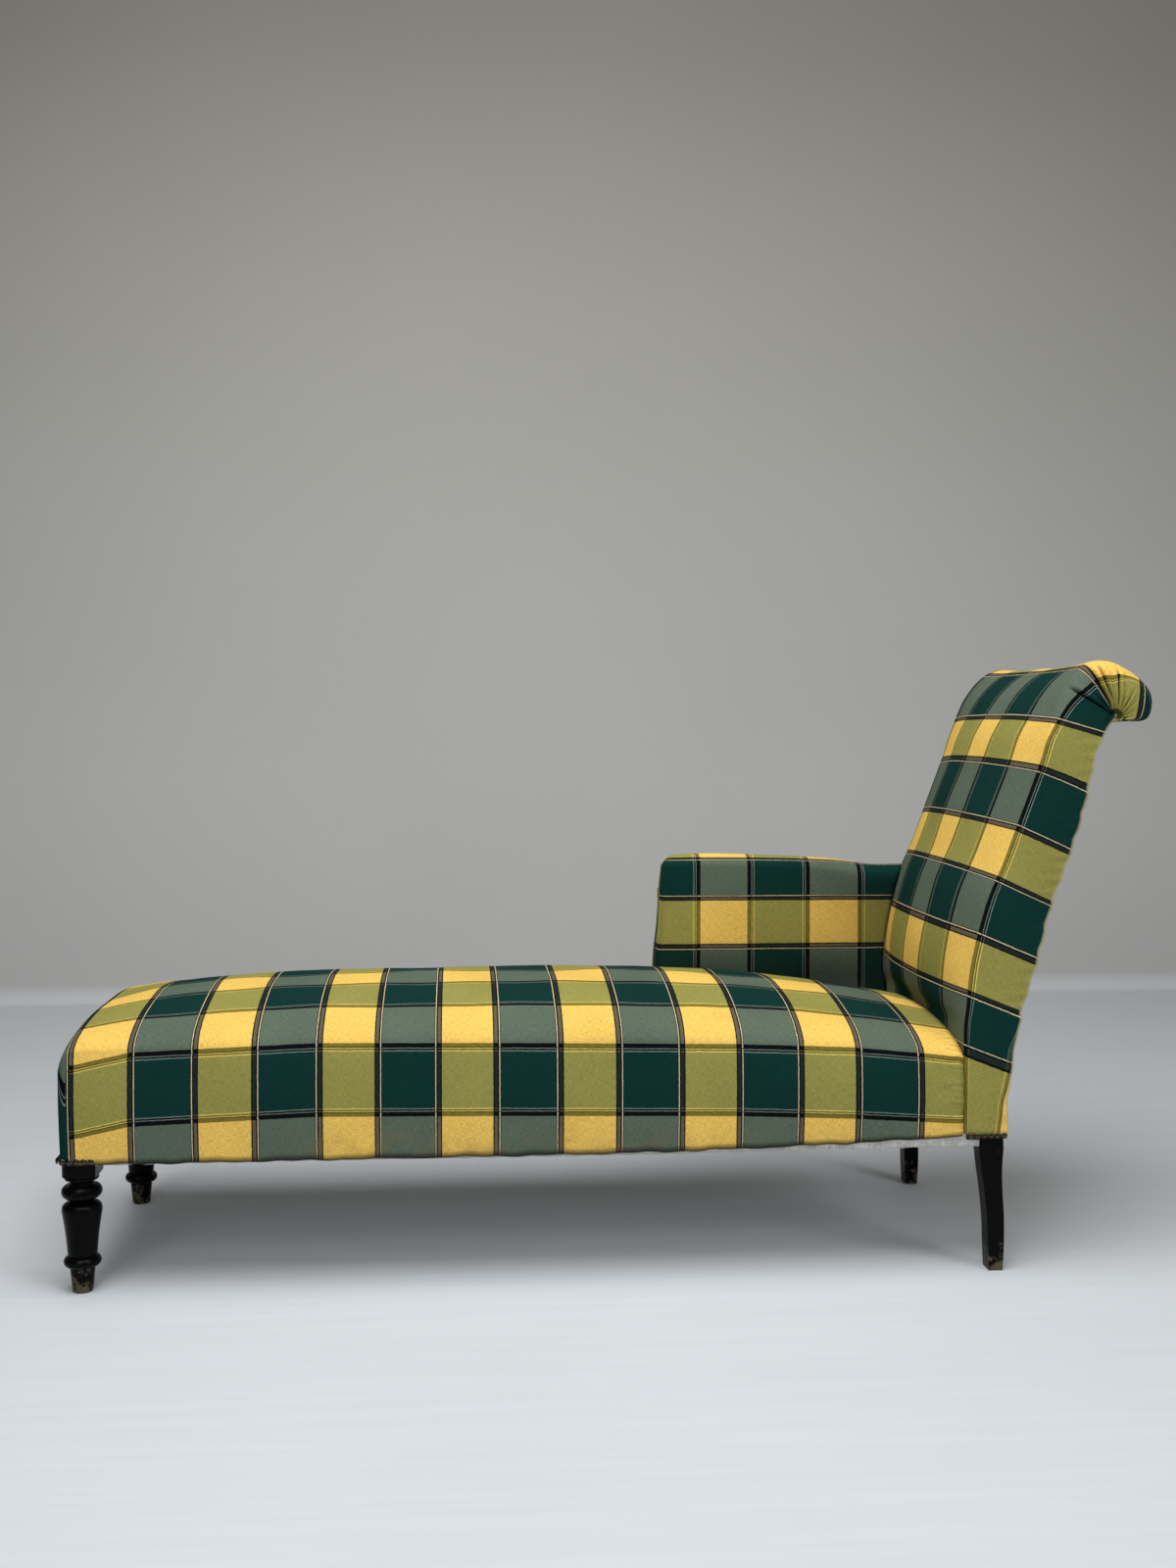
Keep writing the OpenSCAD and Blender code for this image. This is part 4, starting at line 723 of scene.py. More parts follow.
def pleated(direction, reach):
    """Depth of the pleats at a direction from the neck and a reach from it to the rim.

    Each is a sharp valley with a low roll of cloth beside it, and dies out along its run.
    """
    total = np.zeros(np.broadcast(direction, reach).shape)
    for angle, depth, run in PLEATS:
        off = direction - angle - 5 * np.sin(reach * 2.2)
        valley = bell(off, 0, 2.0) - 0.45 * bell(off, -4.5, 3.2)
        fade = climb(reach, run, -0.22) * np.clip(reach / 0.12, 0.3, 1)
        total = total + depth * valley * fade
    return total


def back_grid():
    """Back cover: rows along the outline, each from rear edge to rear edge round the front.

    A row is a straight side, a quarter circle, the front that swells forwards, and the same
    again. Gives points, places on the cloth and the marks of thread, of shade painted into the
    folds and of the raw edge.
    """
    table = back_lines()
    outline, behind = table[:, 0:2], table[:, 2:4]
    side_z, swell, on_scroll = table[:, 4:5], table[:, 5:6], np.clip(table[:, 6:7], 0, 1)
    on_back = 1 - on_scroll
    station = (np.arange(len(table)) / ROW_STEPS)[:, None]
    way = np.gradient(outline, axis=0)
    way = way / np.linalg.norm(way, axis=-1, keepdims=True)
    out = grid(-way[:, 1], way[:, 0])
    front_side = joined(outline[:, :1], side_z)
    depth = np.linalg.norm(front_side - behind, axis=-1, keepdims=True)
    radius = np.minimum(EDGE_ROUND + SCROLL_ROUND * on_scroll, depth * (0.35 + 0.1 * on_scroll))
    walked = lengths(outline[None])[0][:, None]

    def from_behind(reach):
        """Place in x and z by the share of the way from the rear edge to the front."""
        return behind[:, None, :] + (front_side - behind)[:, None, :] * reach[..., None]

    def strip(at, y):
        """Points from their places in x and z, and across the couch."""
        return grid(at[..., 0], y, at[..., 1])

    # Side: from the rear edge to where the corner starts
    share = np.linspace(0, 1, 19)[None, :]
    reach = share * (1 - radius / depth)
    toward = outline - NECK
    direction = np.degrees(np.arctan2(toward[:, 1:], toward[:, :1]))
    direction = np.where(direction < -90, direction + 360, direction)
    creases = pleated(direction, reach) * on_scroll
    drawn_in = NECK_DRAW * (1 - share) ** 2 * on_scroll
    tacks = SIDE_TACK_DENT * np.sin(2 * math.pi * walked / SIDE_TACKS) * (1 - share) ** 4 * on_back
    puff = SCROLL_PUFF * on_scroll + SIDE_PUFF * on_back
    side_out = puff * np.sin(math.pi * share) - creases - drawn_in + tacks
    edge_wave = EDGE_WAVE * np.sin(2 * math.pi * walked / EDGE_STEP) * (1 - share) ** 3 * on_back
    side_at = from_behind(reach) + grid(edge_wave, 0)
    # Corner and front
    turn = np.linspace(0, math.pi / 2, 11)[1:][None, :]
    turned = turn / (math.pi / 2)
    corner_reach = 1 - radius / depth * (1 - np.sin(turn))
    corner_at = from_behind(corner_reach) + grid(0, (outline[:, 1:] - side_z) * turned**2)
    corner_crease = pleated(direction, corner_reach) * on_scroll * np.cos(turn)
    corner_y = -SIDE_Y + radius * (1 - np.cos(turn)) + corner_crease
    edge = SIDE_Y - radius
    span = np.linspace(-1, 1, 45)[1:-1][None, :]
    bulge = swell * (1 - np.abs(span) ** CROWN_POWER)
    hollow = 0.0016 * settled(span * 0.25 + 0.2, walked) * (1 - span**4)
    face_at = outline[:, None, :] + out[:, None, :] * (bulge + hollow)[..., None]
    near = joined(strip(side_at, -SIDE_Y - side_out), strip(corner_at, corner_y))
    far = (near * [1, -1, 1])[:, ::-1]
    points = joined(near, strip(face_at, edge * span), far)
    # Cloth places: along by the stripes' heights, then by the scroll's; across by width
    row, way_up, z = station[:, 0], walked[:, 0], outline[:FRONT_ROWS, 1]
    knots = CHECK_ALONG * (np.arange(len(BACK_STRIPE_Z) + 2) + 0.5)
    crossed = np.append(np.interp(BACK_STRIPE_Z, z, row[:FRONT_ROWS]), SCROLL_STRIPES)
    low, high = np.interp(crossed[[0, -1]], row, way_up)
    along = np.interp(row, crossed, knots) + way_up - np.clip(way_up, low, high)
    # On the sides the stripes fall towards the rear
    side_x, side_up = np.moveaxis(joined(side_at, corner_at), -1, 0)
    slope = SIDE_FALL + (HIGH_FALL - SIDE_FALL) * climb(side_up, 0.74, 0.12)
    fallen = side_up + slope * (side_x - outline[:, :1])
    side_along = np.interp(fallen, z, along[:FRONT_ROWS]) + np.maximum(fallen - z[-1], 0)
    low_cloth = knots[0] + LOW_CLOTH_SHARE * (fallen - BACK_STRIPE_Z[0])
    side_along = np.where(fallen < BACK_STRIPE_Z[0], low_cloth, side_along)
    # On the scroll's ends the cloth is drawn round the rim before it turns in to the neck
    bend = radius * math.pi / 2
    inward = (1 - reach) * depth - radius
    drawn = joined(bend + inward, bend - radius * turn)
    upright = knots[-1] + side_x - UPRIGHT_X + UPRIGHT_LEAN * (UPRIGHT_Z - side_up)
    late = climb(station, *UPRIGHT_FROM)
    late = late * (1 - np.exp(-np.maximum(drawn - 0.006, 0) / 0.010))
    scroll_along = along[:, None] * (1 - late) + upright * late
    blend = climb(station, *SCROLL_FROM)
    side_along = (1 - blend) * side_along + blend * scroll_along
    half = CHECK_ACROSS / 2
    low_part = climb(side_at[..., 1], 0.48, -0.115) * on_back
    rear_shift = low_part * (REAR_SHIFT - 0.24 * (side_at[..., 1] - 0.215)) * (1 - share) ** 0.5
    rim_shift = RIM_SHIFT * climb(station, *RIM_FROM) ** 1.5
    near_across = -half - inward * (1 - 0.06 * on_back) - rear_shift - rim_shift
    corner_across = -half + radius * turn - rim_shift * (1 - turned)
    face_across = -half + bend + edge * (span + 1)
    middle = -half + bend + edge
    sides = joined(near_across, corner_across)
    across = joined(sides, face_across, (2 * middle - sides)[:, ::-1])
    plain = np.broadcast_to(along[:, None], face_across.shape)
    along = joined(side_along, plain, side_along[:, ::-1])

    def on_both(values):
        """A mark of the near side from its rear edge on, mirrored to the far side."""
        mark = np.zeros(across.shape)
        mark[:, : values.shape[1]] = values
        mark[:, -values.shape[1] :] = values[:, ::-1]
        return mark

    sewn = climb(reach * depth, 1.6 * SEWN_WIDTH, -SEWN_WIDTH) * on_back
    # Shade is painted into the pleats' creases, and fully into the first columns on the scroll's
    # ends, where the cloth turns in to the neck
    painted_shade = climb(joined(creases, corner_crease), 0, DEEP_CREASE) ** 2
    painted_shade[:, :4] = np.maximum(painted_shade[:, :4], on_scroll)
    raw = climb(side_at[..., 1], 0.228, -0.006)
    marks = {"sewn": sewn, "painted_shade": painted_shade, "raw": raw}
    return points, grid(along, across), {mark: on_both(marks[mark]) for mark in marks}


back_points, back_places, back_marks = back_grid()
sheet("back_cover_cloth", "back_cover", back_points, ["back_pad"], back_places, **back_marks)

# Arm cover: cloth drawn up the inner face, over the rounded top and down outside, and folded
# in over the front post. It is seen across the seat, so its checks line up with nothing else.
ARM_FRONT_X = FOOT_FACE_X + ARM_START
ARM_RADIUS = 0.0295
ARM_MIDDLE_Y = SIDE_Y - ARM_RADIUS
ARM_ARCH_SHARE = 0.75
ARM_LOW_Z = 0.2971
ARM_OUTER_LOW_Z = 0.560
ARM_TOP_Z = 0.637
ARM_FALL = 0.022
FRONT_DROP = 0.003
# The top dips where arms have rubbed it, before it meets the back
WORN_DIP, WORN_AT, WORN_RUN = 0.006, 0.86, 0.12
INNER_DENT = 0.0018
# How much shade is painted into the crevices beside the seat and the back
SEAT_CREVICE_SHADE, BACK_CREVICE_SHADE = 0.85, 0.6
# The front leans: its shares of the lean at shares of the arm's height
ARM_LEAN = 0.0295
LEAN_AT = (0, 0.38, 0.47, 0.57, 0.71, 0.82, 0.93, 1)
LEAN_SHARES = (0, 0, 0.08, 0.21, 0.32, 0.37, 0.52, 1)
# Seven rings fill the front face, ten round its edge, and the others run along the arm
FACE_RINGS, EDGE_RINGS, BODY_RINGS = 7, 10, 61
EDGE_RUN, EDGE_INSET, MOST_SHRINK = 0.0145, 0.42, 0.985
ARM_SIDE_POINTS, ARM_ARCH_POINTS = 21, 30
ARM_STRIPE_X = np.array([0.1917, 0.2943, 0.3978, 0.5038])
# The first dark check above the yellow one takes up more cloth
ARM_YELLOW_Z, TOP_STRETCH = 0.510, 0.28


def back_front(z, y):
    """Place of the back cover's front at a height and a place across the couch."""
    table = back_lines()[:FRONT_ROWS]
    front = np.interp(z, table[:, 1], table[:, 0])
    swell = np.interp(z, table[:, 1], table[:, 5])
    edge = SIDE_Y - EDGE_ROUND
    return front - swell * (1 - np.clip(np.abs(y) / edge, 0, 1) ** CROWN_POWER)


def arm_grid():
    """Arm cover: rings along the arm, each the inner face, half an ellipse and the outer face.

    The first rings are drawn in to a line on the front face and swell over a rounded edge.
    Gives points, places on the cloth and the shade painted into the crevices.
    """
    face = np.linspace(1, EDGE_INSET, FACE_RINGS)
    round_edge = np.linspace(0, 1, EDGE_RINGS)
    body = np.linspace(0, 1, BODY_RINGS + 1)[1:]
    ends = FACE_RINGS + EDGE_RINGS
    inset = [face, EDGE_INSET * (1 - rounded(round_edge)), np.zeros(BODY_RINGS)]
    inset = np.concatenate(inset)[:, None]
    run = [np.zeros(FACE_RINGS), round_edge * EDGE_RUN, np.full(BODY_RINGS, EDGE_RUN)]
    run = np.concatenate(run)[:, None]
    share = np.concatenate([np.zeros(ends), body])[:, None]
    shrink = inset * ARM_RADIUS * MOST_SHRINK
    half = ARM_RADIUS - shrink
    top = ARM_TOP_Z - ARM_FALL * share**1.6 - FRONT_DROP * np.exp(-share * 12)
    top = top - shrink * ARM_ARCH_SHARE - WORN_DIP * bell(share, WORN_AT, WORN_RUN)
    spring = top - half * ARM_ARCH_SHARE
    up = np.linspace(0, 1, ARM_SIDE_POINTS + 1)[:-1][None, :]
    dent = INNER_DENT * np.sin(math.pi * up) ** 0.7 * np.clip(share * 8, 0, 1)
    inner_y = ARM_MIDDLE_Y - half - dent * (1 + 0.5 * np.sin(23 * share))
    inner_z = ARM_LOW_Z + (spring - ARM_LOW_Z) * up
    turn = np.linspace(math.pi, 0, ARM_ARCH_POINTS)[None, :]
    arch_y = ARM_MIDDLE_Y + half * np.cos(turn)
    arch_z = spring + (top - spring) * np.sin(turn)
    outer_y = np.broadcast_to(ARM_MIDDLE_Y + half, inner_z.shape)
    y = joined(inner_y, arch_y, outer_y)
    z = joined(inner_z, arch_z, inner_z[:, ::-1])
    height = climb(z, ARM_LOW_Z, ARM_TOP_Z - ARM_LOW_Z)
    front = ARM_FRONT_X + ARM_LEAN * np.interp(height, LEAN_AT, LEAN_SHARES) + run
    x = front + (back_front(z, y) - 0.003 - front) * share
    x = x + 0.0016 * (1 - share) * settled(y * 3, z) * (inset < 0.9)
    # Past the front face the outer side ends above the outside arm panel
    sewn_low = np.where(run < 0.014, ARM_LOW_Z, ARM_OUTER_LOW_Z)
    outer_z = sewn_low + (spring - sewn_low) * up[:, ::-1]
    z = joined(inner_z, arch_z, outer_z)
    points = grid(x, y, z)
    rise = lengths(points) + ARM_LOW_Z - ARM_YELLOW_Z
    along = rise + TOP_STRETCH * np.clip(rise - CHECK_ALONG / 2, 0, CHECK_ALONG)
    knots = CHECK_ACROSS * (np.arange(len(ARM_STRIPE_X)) - 0.5)
    slope = CHECK_ACROSS / (ARM_STRIPE_X[1] - ARM_STRIPE_X[0])
    past_stripes = x - np.clip(x, ARM_STRIPE_X[0], ARM_STRIPE_X[-1])
    across = np.interp(x, ARM_STRIPE_X, knots) + slope * past_stripes
    inner = np.arange(points.shape[1]) < ARM_SIDE_POINTS
    # Painted shade on the inner face: darker near the seat and towards the back
    beside_seat = SEAT_CREVICE_SHADE * climb(z, 0.480, -0.065)
    beside_back = BACK_CREVICE_SHADE * climb(share, 0.6, 0.4) ** 1.5
    painted_shade = np.maximum(beside_seat, beside_back) * inner
    return points, grid(along, across - shrink), {"painted_shade": painted_shade}


arm_points, arm_places, arm_marks = arm_grid()
sheet("arm_cover_cloth", "arm_cover", arm_points, ["arm_pad"], arm_places, **arm_marks)

# Outside back: one flat piece of the cloth, slip stitched to the back cover's rear edges and
# tacked under the head rail.
PANEL_THICK = 0.0015
PANEL_HALF = 0.2535
PANEL_SUNK = 0.0025
PANEL_SAG = 0.0022
panel_down = np.linspace(0, 1, 70)[:, None]
rear_x, rear_z = back_lines()[:FRONT_ROWS, 2:4].T
panel_z = rear_z[-1] + (BACK_LOW_Z - rear_z[-1]) * panel_down
panel_y = np.linspace(-PANEL_HALF, PANEL_HALF, 60)[None, :]
sunk = PANEL_SUNK + PANEL_SAG * dome(panel_y / (PANEL_HALF + 0.001)) * np.sin(math.pi * panel_down)
sunk = sunk + 0.0006 * settled(panel_y, panel_z)
panel_points = grid(np.interp(panel_z, rear_z, rear_x) - sunk, panel_y, panel_z)
panel_places = grid(panel_z - BACK_STRIPE_Z[0] + CHECK_ALONG / 2, panel_y)
sheet(
    "outside_back_cloth",
    "outside_back_panel",
    panel_points,
    ["back_crest_rail", "head_seat_rail"],
    panel_places,
    thickness=PANEL_THICK,
)

# Outside arm: a flat piece of the cloth below the arm's roll, tacked to the far seat rail.
# Below the arm's front it reaches on to the seat cover, and above it ends inside the arm cover.
SEAT_REACH, ROLL_REACH = 0.0072, 0.012
SIDE_SAG = 0.0016
side_low, side_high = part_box("outside_arm_panel")
side_z = np.linspace(side_low[2] + 0.0005, side_high[2] - 0.0005, 40)[:, None]
below_roll = side_z < ARM_LOW_Z + 0.002
side_start = np.where(below_roll, ARM_FRONT_X - SEAT_REACH, side_low[0] + ROLL_REACH)
side_x = side_start + (side_high[0] - 0.001 - side_start) * np.linspace(0, 1, 60)[None, :]
side_rise = (side_z - side_low[2]) / (side_high[2] - side_low[2])
side_y = side_high[1] - 0.0008 - SIDE_SAG * np.sin(math.pi * side_rise)
side_y = side_y - 0.0004 * settled(side_x, side_z)
side_points = grid(side_x, side_y, side_z)
side_places = grid(side_z - ARM_YELLOW_Z, side_x)
sheet(
    "outside_arm_cloth",
    "outside_arm_panel",
    side_points,
    ["arm_top_rail", "far_seat_rail"],
    side_places,
    thickness=PANEL_THICK,
)

# Bottom cloth: thin striped ticking tacked under the frame and turned up over the rails' lower
# edges; slack with age, it bellies down towards the head end and is cut round the legs.
TICKING_THICK = 0.0008
TICKING_Z = 0.2034
TICKING_SAG = 0.030
TURN_UP = 0.004
# Half its width at the foot legs, between them and the back posts, and at these
AT_LEGS_HALF, TICKING_HALF, AT_POSTS_HALF = 0.2000, 0.2562, 0.2240
TICKING_STRIPE, TICKING_LINE, TICKING_RIB = 0.0042, 0.0011, 0.0010
# The ticking's white is painted darker than its own, as the shade under the seat
TICKING_WHITE_IN_SHADE, TICKING_GREY = linear(178, 177, 172), linear(132, 136, 141)
TICKING_AGED = linear(150, 130, 100)


def ticking_grid():
    """Bottom cloth: rows along the couch, each from one side over the bottom to the other.

    It hangs by half a sine along the couch times a dome across it, and its edges are straight
    up to the hem of the covers.
    """
    low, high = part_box("bottom_cloth")
    leg_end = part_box("near_foot_leg")[1][0] - 0.004
    post_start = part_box("near_back_post")[0][0] - 0.0012
    at_legs = np.linspace(low[0], leg_end - 0.001, 6)
    at_posts = np.linspace(post_start + 0.001, high[0], 6)
    x = np.concatenate([at_legs, np.linspace(leg_end, post_start, 90), at_posts])[:, None]
    between = ((x >= leg_end) & (x <= post_start)).astype(float)
    half = np.select([x < leg_end, x > post_start], [AT_LEGS_HALF, AT_POSTS_HALF], TICKING_HALF)
    share = (x - low[0]) / (high[0] - low[0])
    across = np.linspace(-1, 1, 61)[None, :]
    belly = np.sin(math.pi * share**1.25) ** 1.3 * np.clip(1 - across**2, 0, 1) ** 0.75
    ripple = 0.0007 * np.sin(260 * x + 4 * across) * np.abs(across) ** 3
    z = TICKING_Z - TICKING_SAG * belly - ripple
    lift = np.linspace(1, 1 / 6, 6)[None, :] * between
    turned_z = TICKING_Z + (hem_height(x) + TURN_UP - TICKING_Z) * lift + 0.0003 * (1 - between)
    turned_y = half + 0.0006 * np.sin(140 * x) * lift + np.linspace(0.001, 0, 6)[None, :]
    under_panel = 0.0014 * (x > ARM_FRONT_X)
    y = joined(-turned_y, half * across, turned_y[:, ::-1] - under_panel)
    return grid(x, y, joined(turned_z, z, turned_z[:, ::-1]))


ticking_paint, tree, shader, place = material("ticking", Roughness=0.9)
lines = add_node(tree, "ShaderNodeSeparateXYZ", {0: place}).outputs["Y"]
lines = number(tree, "LESS_THAN", number(tree, "PINGPONG", lines, TICKING_STRIPE), TICKING_LINE)
colour = mixed(tree, lines, TICKING_WHITE_IN_SHADE, TICKING_GREY)
twill = placed(tree, TWILL, Place=place, Rib=TICKING_RIB)
colour = mixed(tree, 1.0, colour, twill["Shade"], "MULTIPLY")
age = placed(tree, PATCHES, Place=place, Scale=5.0, Detail=6.0, Low=0.5, High=0.8)["Mask"]
colour = mixed(tree, number(tree, "MULTIPLY", age, 0.5), colour, TICKING_AGED)
finish_paint(tree, shader, colour, twill["Height"], strength=0.2, distance=0.0004)
sheet(
    "ticking_cloth",
    "bottom_cloth",
    ticking_grid(),
    ["near_seat_rail", "far_seat_rail"],
    flip=False,
    thickness=TICKING_THICK,
    slot="ticking",
    paint=ticking_paint,
)

# Hessian: coarse jute cloth, tacked round the seat rails as a tent over the springs, and
# stretched down the front of the back posts over the webbing.
HESSIAN_THICK = 0.0012
TENT_RISE = 0.0578
TENT_RUN = 0.0903
TENT_HALF = 0.2536
# Beside the arm the tent falls to the arm's webbing, and its cloth ends behind that
TENT_ARM_HALF, TENT_ARM_END = 0.205, 0.2264
RAIL_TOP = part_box("near_seat_rail")[1][2]
POST_DEPTH = 0.0508


def tent(x, y):
    """Height of the tent over the springs, which falls to the rails at all four sides."""
    low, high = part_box("seat_hessian")
    half = np.where((x > ARM_FRONT_X) & (y > 0), TENT_ARM_HALF, TENT_HALF)
    side = np.clip(1 - np.minimum(np.abs(y) / half, 1) ** 6, 0, 1)
    ends = rounded((x - low[0]) / TENT_RUN) * rounded((high[0] - x) / TENT_RUN)
    return RAIL_TOP + 0.0008 + TENT_RISE * side * ends


def jute(name, roughness, rib, yarn):
    """Coarse jute: one colour of yarn under deep ribs."""
    made, tree, shader, place = material(name, Roughness=roughness)
    twill = placed(tree, TWILL, Place=place, Rib=rib)
    colour = mixed(tree, 1.0, yarn, twill["Shade"], "MULTIPLY")
    finish_paint(tree, shader, colour, twill["Height"], strength=0.8, distance=0.001)
    return made


hessian_paint = jute("hessian", roughness=0.95, rib=0.0024, yarn=linear(158, 126, 82))
tent_low, tent_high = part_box("seat_hessian")
tent_x = np.linspace(tent_low[0] + 0.001, tent_high[0] - 0.001, 120)[:, None]
tent_end = np.where(tent_x > ARM_FRONT_X, TENT_ARM_END, TENT_HALF)
tent_y = np.linspace(0, 1, 50)[None, :] * (tent_end + TENT_HALF) - TENT_HALF
tent_points = grid(tent_x, tent_y, tent(tent_x, tent_y))
hessian_low, hessian_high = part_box("back_hessian")
hessian_z = np.linspace(hessian_low[2], hessian_high[2], 50)[:, None]
hessian_y = np.linspace(hessian_low[1], hessian_high[1], 40)[None, :]
hessian_x = np.interp(hessian_z, rear_z, rear_x) - POST_DEPTH + 0.0008 * np.sin(hessian_y * 40)
for node, points, rests_on in (
    ("seat_hessian", tent_points, ["near_seat_rail", "far_seat_rail", "seat_springs"]),
    ("back_hessian", grid(hessian_x, hessian_y, hessian_z), ["near_back_post", "far_back_post"]),
):
    sheet(
        node + "_cloth",
        node,
        points,
        rests_on,
        flip=False,
        thickness=HESSIAN_THICK,
        slot="hessian",
        paint=hessian_paint,
    )

# Stuffing: curled hair under cotton wadding, in four pads that fill the covers of the seat,
# the back, the scroll and the arm, and lie on the hessian or on the frame.
PAD_GAP = 0.0052
ROLL_GAP = 0.009
BACK_PAD_Z, BACK_PAD_HALF = (0.345, 0.86), 0.2500
ROLL_PAD_HALF = 0.2242
ARM_PAD_X = (0.173, 0.587)
# The arm's pad comes down over its rail's outer edge, on to the rail's top and inside it
ARM_RAIL_Y, ARM_RAIL_Z, ARM_RAIL_FALL = (0.2490, 0.2275, 0.2262), 0.619, 0.03
HAIR, WADDING = linear(120, 104, 80), linear(206, 196, 172)


def lofted(name, rings):
    """A closed piece through rings of points, with its two ends filled from their middles."""
    rows, cols = rings.shape[:2]
    corner = np.arange(rows * cols).reshape(rows, cols)
    beside = np.roll(corner, -1, axis=1)
    quads = np.stack([corner[:-1], beside[:-1], beside[1:], corner[1:]], axis=-1).reshape(-1, 4)
    points = np.concatenate([rings.reshape(-1, 3), rings[[0, -1]].mean(axis=1)])
    first = grid(rows * cols, beside[0], corner[0])
    last = grid(rows * cols + 1, corner[-1], beside[-1])
    # A closed piece whose faces point outwards has a volume above 0
    halves = np.concatenate([quads[:, [0, 1, 2]], quads[:, [0, 2, 3]], first, last])
    a, b, c = (points[halves[:, k]] for k in range(3))
    inside_out = np.einsum("ij,ij->i", a, np.cross(b, c)).sum() < 0
    faces = [*quads.tolist(), *first.tolist(), *last.tolist()]
    if inside_out:
        faces = [face[::-1] for face in faces]
    mesh = bpy.data.meshes.new(name)
    mesh.from_pydata(points.tolist(), [], faces)
    return mesh_piece(name, mesh)


def seat_pad_rings():
    """Seat pad: the cover's sections a little inside it, closed along the tent."""
    rows = seat_points[6:-1:2, 10:-10].copy()
    rows[..., 1] -= PAD_GAP * np.clip(rows[..., 1] / 0.2, -1, 1)
    rows[..., 2] = np.maximum(rows[..., 2] - PAD_GAP, RAIL_TOP + 0.004)
    rows[..., 0] = np.clip(rows[..., 0], FOOT_FACE_X + PAD_GAP, SEAM_X - 0.002)
    under = rows[:, ::-1].copy()
    on_tent = tent(under[..., 0], under[..., 1]) + 0.0015
    under[..., 2] = np.minimum(on_tent, under[..., 2] - 0.001)
    return joined(rows, under)


def back_pad_rings():
    """Back pad: the cover's front a little inside it, closed along the hessian."""
    rows = back_points[:FRONT_ROWS:4, 24:-24].copy()
    rows = rows[(rows[:, 0, 2] > BACK_PAD_Z[0]) & (rows[:, 0, 2] < BACK_PAD_Z[1])]
    rows[..., 0] += PAD_GAP
    rows[..., 1] = np.clip(rows[..., 1], -BACK_PAD_HALF, BACK_PAD_HALF)
    behind = rows[:, ::-1].copy()
    on_hessian = np.interp(behind[..., 2], rear_z, rear_x) - POST_DEPTH - 0.003
    behind[..., 0] = np.maximum(on_hessian, behind[..., 0] + 0.004)
    return joined(rows, behind)


def roll_pad_rings():
    """Scroll pad: the cover's scroll a little inside it, from end to end."""
    rings = back_points[FRONT_ROWS + 6 : -2 : 4, 29:-29].transpose(1, 0, 2)
    middle = rings.mean(axis=1, keepdims=True)
    out = rings - middle
    size = np.linalg.norm(out, axis=-1, keepdims=True)
    rings = middle + out * np.clip(1 - ROLL_GAP / size, 0.1, 1)
    rings[..., 1] = np.clip(rings[..., 1], -ROLL_PAD_HALF, ROLL_PAD_HALF)
    return rings


def arm_pad_rings():
    """Arm pad: the arm's sections a little inside the cover, from the webbing over the rail."""
    arch_end = ARM_SIDE_POINTS + ARM_ARCH_POINTS
    rows = arm_points[20::2, :arch_end].copy()
    rows[..., 0] = np.clip(rows[..., 0], *ARM_PAD_X)
    rows[:, :ARM_SIDE_POINTS, 1] += PAD_GAP
    top = rows[:, ARM_SIDE_POINTS:]
    top[..., 1] += PAD_GAP * np.clip((ARM_MIDDLE_Y - top[..., 1]) / ARM_RADIUS, -1, 1)
    top[..., 2] -= PAD_GAP
    rows[..., 2] = np.maximum(rows[..., 2], RAIL_TOP + 0.003)
    rows[..., 1] = np.minimum(rows[..., 1], ARM_RAIL_Y[0])
    rail = np.broadcast_to(rows[:, 36:37], (len(rows), 3, 3)).copy()
    rail[..., 1] = ARM_RAIL_Y
    rail_top = ARM_RAIL_Z - ARM_RAIL_FALL * np.linspace(0, 1, len(rows))[:, None]
    rail[..., 2] = np.minimum(rail[..., 2] - 0.004, rail_top)
    foot = rail[:, -1:].copy()
    foot[..., 2] = RAIL_TOP + 0.003
    return joined(rows[:, : arch_end - 5], rail, foot)


stuffing_paint, tree, shader, place = material("stuffing", Roughness=1.0)
tufts = noise(tree, place, scale=90.0, detail=8.0, Distortion=1.5)
colour = mixed(tree, tufts, HAIR, WADDING)
finish_paint(tree, shader, colour, tufts, strength=0.7, distance=0.003)
for name, node, rings, fill in (
    ("seat_pad", "seat_stuffing", seat_pad_rings(), 0.9),
    ("back_pad", "back_stuffing", back_pad_rings(), 0.85),
    ("roll_pad", "roll_stuffing", roll_pad_rings(), 0.9),
    ("arm_pad", "arm_stuffing", arm_pad_rings(), 0.85),
):
    pad = lofted(name, rings)
    pad.data.materials.append(stuffing_paint)
    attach(pad, "root")
    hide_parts(node)

# Frame: turned legs and sawn back posts, ebonised, with the black worn to bare grey brown near
# the floor; the rails tenoned and pegged into them, the screwed corner blocks, the pegs and the
# dowels are of plain beech.
EBONY, EBONY_PALE, BARE = linear(3, 3, 4), linear(10, 9, 10), linear(86, 79, 64)
BEECH, BEECH_PALE = linear(150, 112, 72), linear(196, 158, 112)
WORN_TO = 0.06
# Waves of the grain to a metre, along the grain and across it
ALONG, ACROSS = 6.0, 60.0
# Roughness as a share of the pores, or of the worn patches, and what is added to it
GRAIN_ROUGH, WORN_ROUGH = (0.2, 0.45), (0.4, 0.20)


def wood_group():
    """Wood grain drawn out along one way: Shade for the colour and Height for the bump.

    Shade is seven parts of wide rings to three of fine pores, and Height the pores alone.
    """
    group, given, made = new_group("wood_grain", ["Place", "Draw"], [], ["Shade", "Height"])
    drawn = vector(group, "MULTIPLY", given["Place"], given["Draw"])
    rings = noise(group, drawn, scale=1.0, detail=5.0, Distortion=0.4)
    pores = noise(group, drawn, scale=9.0, detail=3.0)
    shade = number(group, "MULTIPLY_ADD", rings, 0.7, number(group, "MULTIPLY", pores, 0.3))
    group.links.new(shade, made["Shade"])
    group.links.new(pores, made["Height"])
    return group


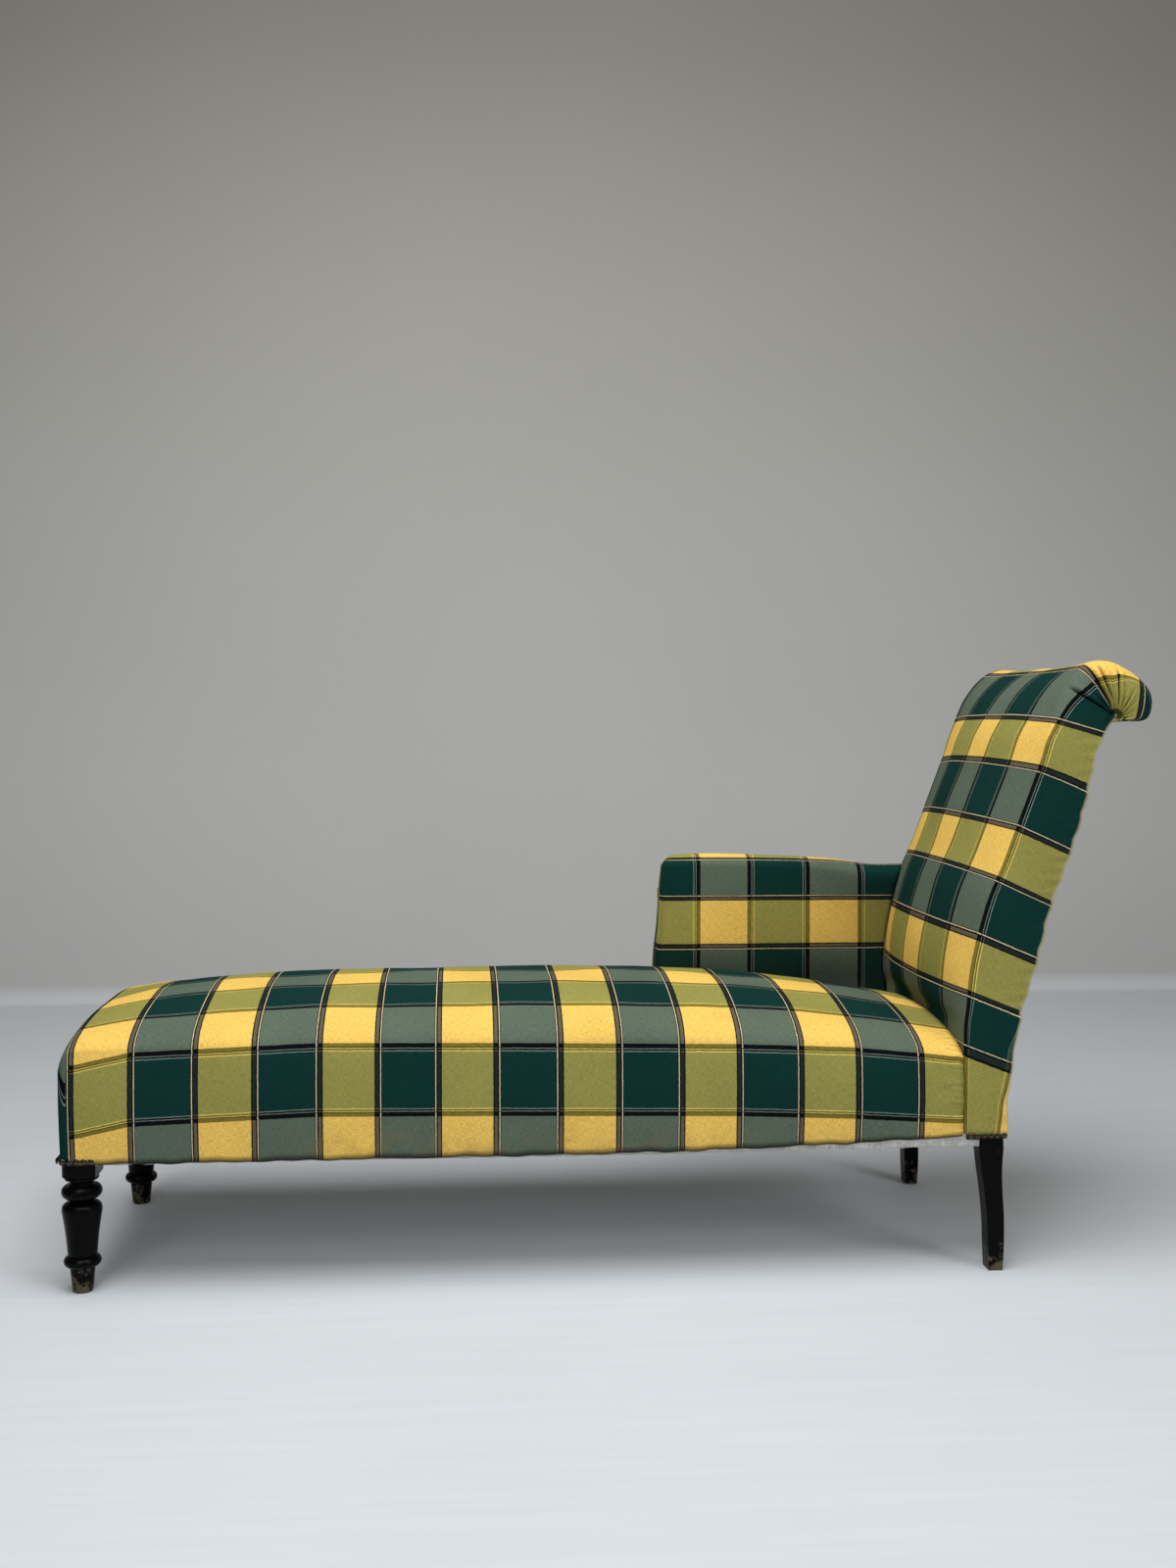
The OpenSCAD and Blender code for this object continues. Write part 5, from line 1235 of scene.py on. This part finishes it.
def wood(name, draw, dark, pale, worn=None):
    """Wood with its grain drawn out, and with worn patches near the floor if asked for."""
    made, tree, shader, place = material(name, Specular_IOR_Level=0.06)
    grain = placed(tree, WOOD, Place=place, Draw=draw)
    colour = mixed(tree, grain["Shade"], dark, pale)
    rough = number(tree, "MULTIPLY_ADD", grain["Height"], *GRAIN_ROUGH)
    if worn:
        low = add_node(tree, "ShaderNodeSeparateXYZ", {0: place}).outputs["Z"]
        low = ranged(tree, low, low=0.0, high=WORN_TO, first=0.24, last=0.0)
        patches = noise(tree, place, scale=70.0, detail=8.0, Roughness=0.7)
        patches = ranged(tree, number(tree, "ADD", patches, low), low=0.66, high=0.74)
        colour = mixed(tree, patches, colour, worn)
        rough = number(tree, "MULTIPLY_ADD", patches, *WORN_ROUGH)
    tree.links.new(rough, shader.inputs["Roughness"])
    finish_paint(tree, shader, colour, grain["Height"], strength=0.25, distance=0.0006)
    return made


def finish(nodes, paint):
    """Gives CAD pieces their finish; they ride on the frame already."""
    for node in nodes:
        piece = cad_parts[node]
        piece.data.materials.clear()
        piece.data.materials.append(paint)


WOOD = wood_group()
ebonised = wood("ebonised_wood", (ACROSS, ACROSS, ALONG), EBONY, EBONY_PALE, BARE)
beech_x = wood("beech_along", (ALONG, ACROSS, ACROSS), BEECH, BEECH_PALE)
beech_y = wood("beech_across", (ACROSS, ALONG, ACROSS), BEECH, BEECH_PALE)
beech_z = wood("beech_upright", (ACROSS, ACROSS, ALONG), BEECH, BEECH_PALE)
legs = ["near_foot_leg", "far_foot_leg", "near_back_post", "far_back_post"]
finish(legs, ebonised)
finish(["near_seat_rail", "far_seat_rail", "arm_top_rail", "arm_tacking_rail"], beech_x)
finish(["foot_seat_rail", "head_seat_rail", "seat_brace", "back_lower_rail"], beech_y)
finish(["back_crest_rail", "tenon_pegs", "corner_blocks"], beech_y)
finish(["arm_front_post", "arm_dowels"], beech_z)

# Webbing: jute straps, woven with a coarse rib, drawn tight and tacked under the springs and
# on the posts of the back and the arm.
webbing_paint = jute("jute_webbing", roughness=0.92, rib=0.0030, yarn=linear(168, 138, 94))
finish(["seat_webbing_long", "seat_webbing_cross", "arm_webbing"], webbing_paint)
finish(["back_webbing_up", "back_webbing_across"], webbing_paint)

# Metal: springs and screws of steel with a skin of rust, and the dome headed nails, bronze gone
# nearly black in patches.


def aged_metal(name, clean, rusty, roughness, share):
    """Metal with patches of rust or tarnish over the given share of it, dull and rough there."""
    made, tree, shader, place = material(name)
    low, high = 0.72 - share * 0.4, 0.85 - share * 0.4
    aged = placed(tree, PATCHES, Place=place, Scale=240.0, Detail=5.0, Low=low, High=high)["Mask"]
    for socket, value in (
        ("Base Color", mixed(tree, aged, clean, rusty)),
        ("Metallic", number(tree, "MULTIPLY_ADD", aged, -0.6, 1.0)),
        ("Roughness", number(tree, "MULTIPLY_ADD", aged, 0.35, roughness)),
    ):
        tree.links.new(value, shader.inputs[socket])
    return made


spring_steel = aged_metal("spring_steel", linear(130, 124, 118), linear(104, 66, 42), 0.38, 0.5)
screw_steel = aged_metal("screw_steel", linear(150, 146, 140), linear(96, 62, 42), 0.35, 0.3)
nail_bronze = aged_metal("antique_nails", linear(78, 71, 61), linear(12, 11, 10), 0.16, 0.35)
finish(["seat_springs"], spring_steel)
finish(["block_screws"], screw_steel)
finish(["foot_nails", "back_nails"], nail_bronze)
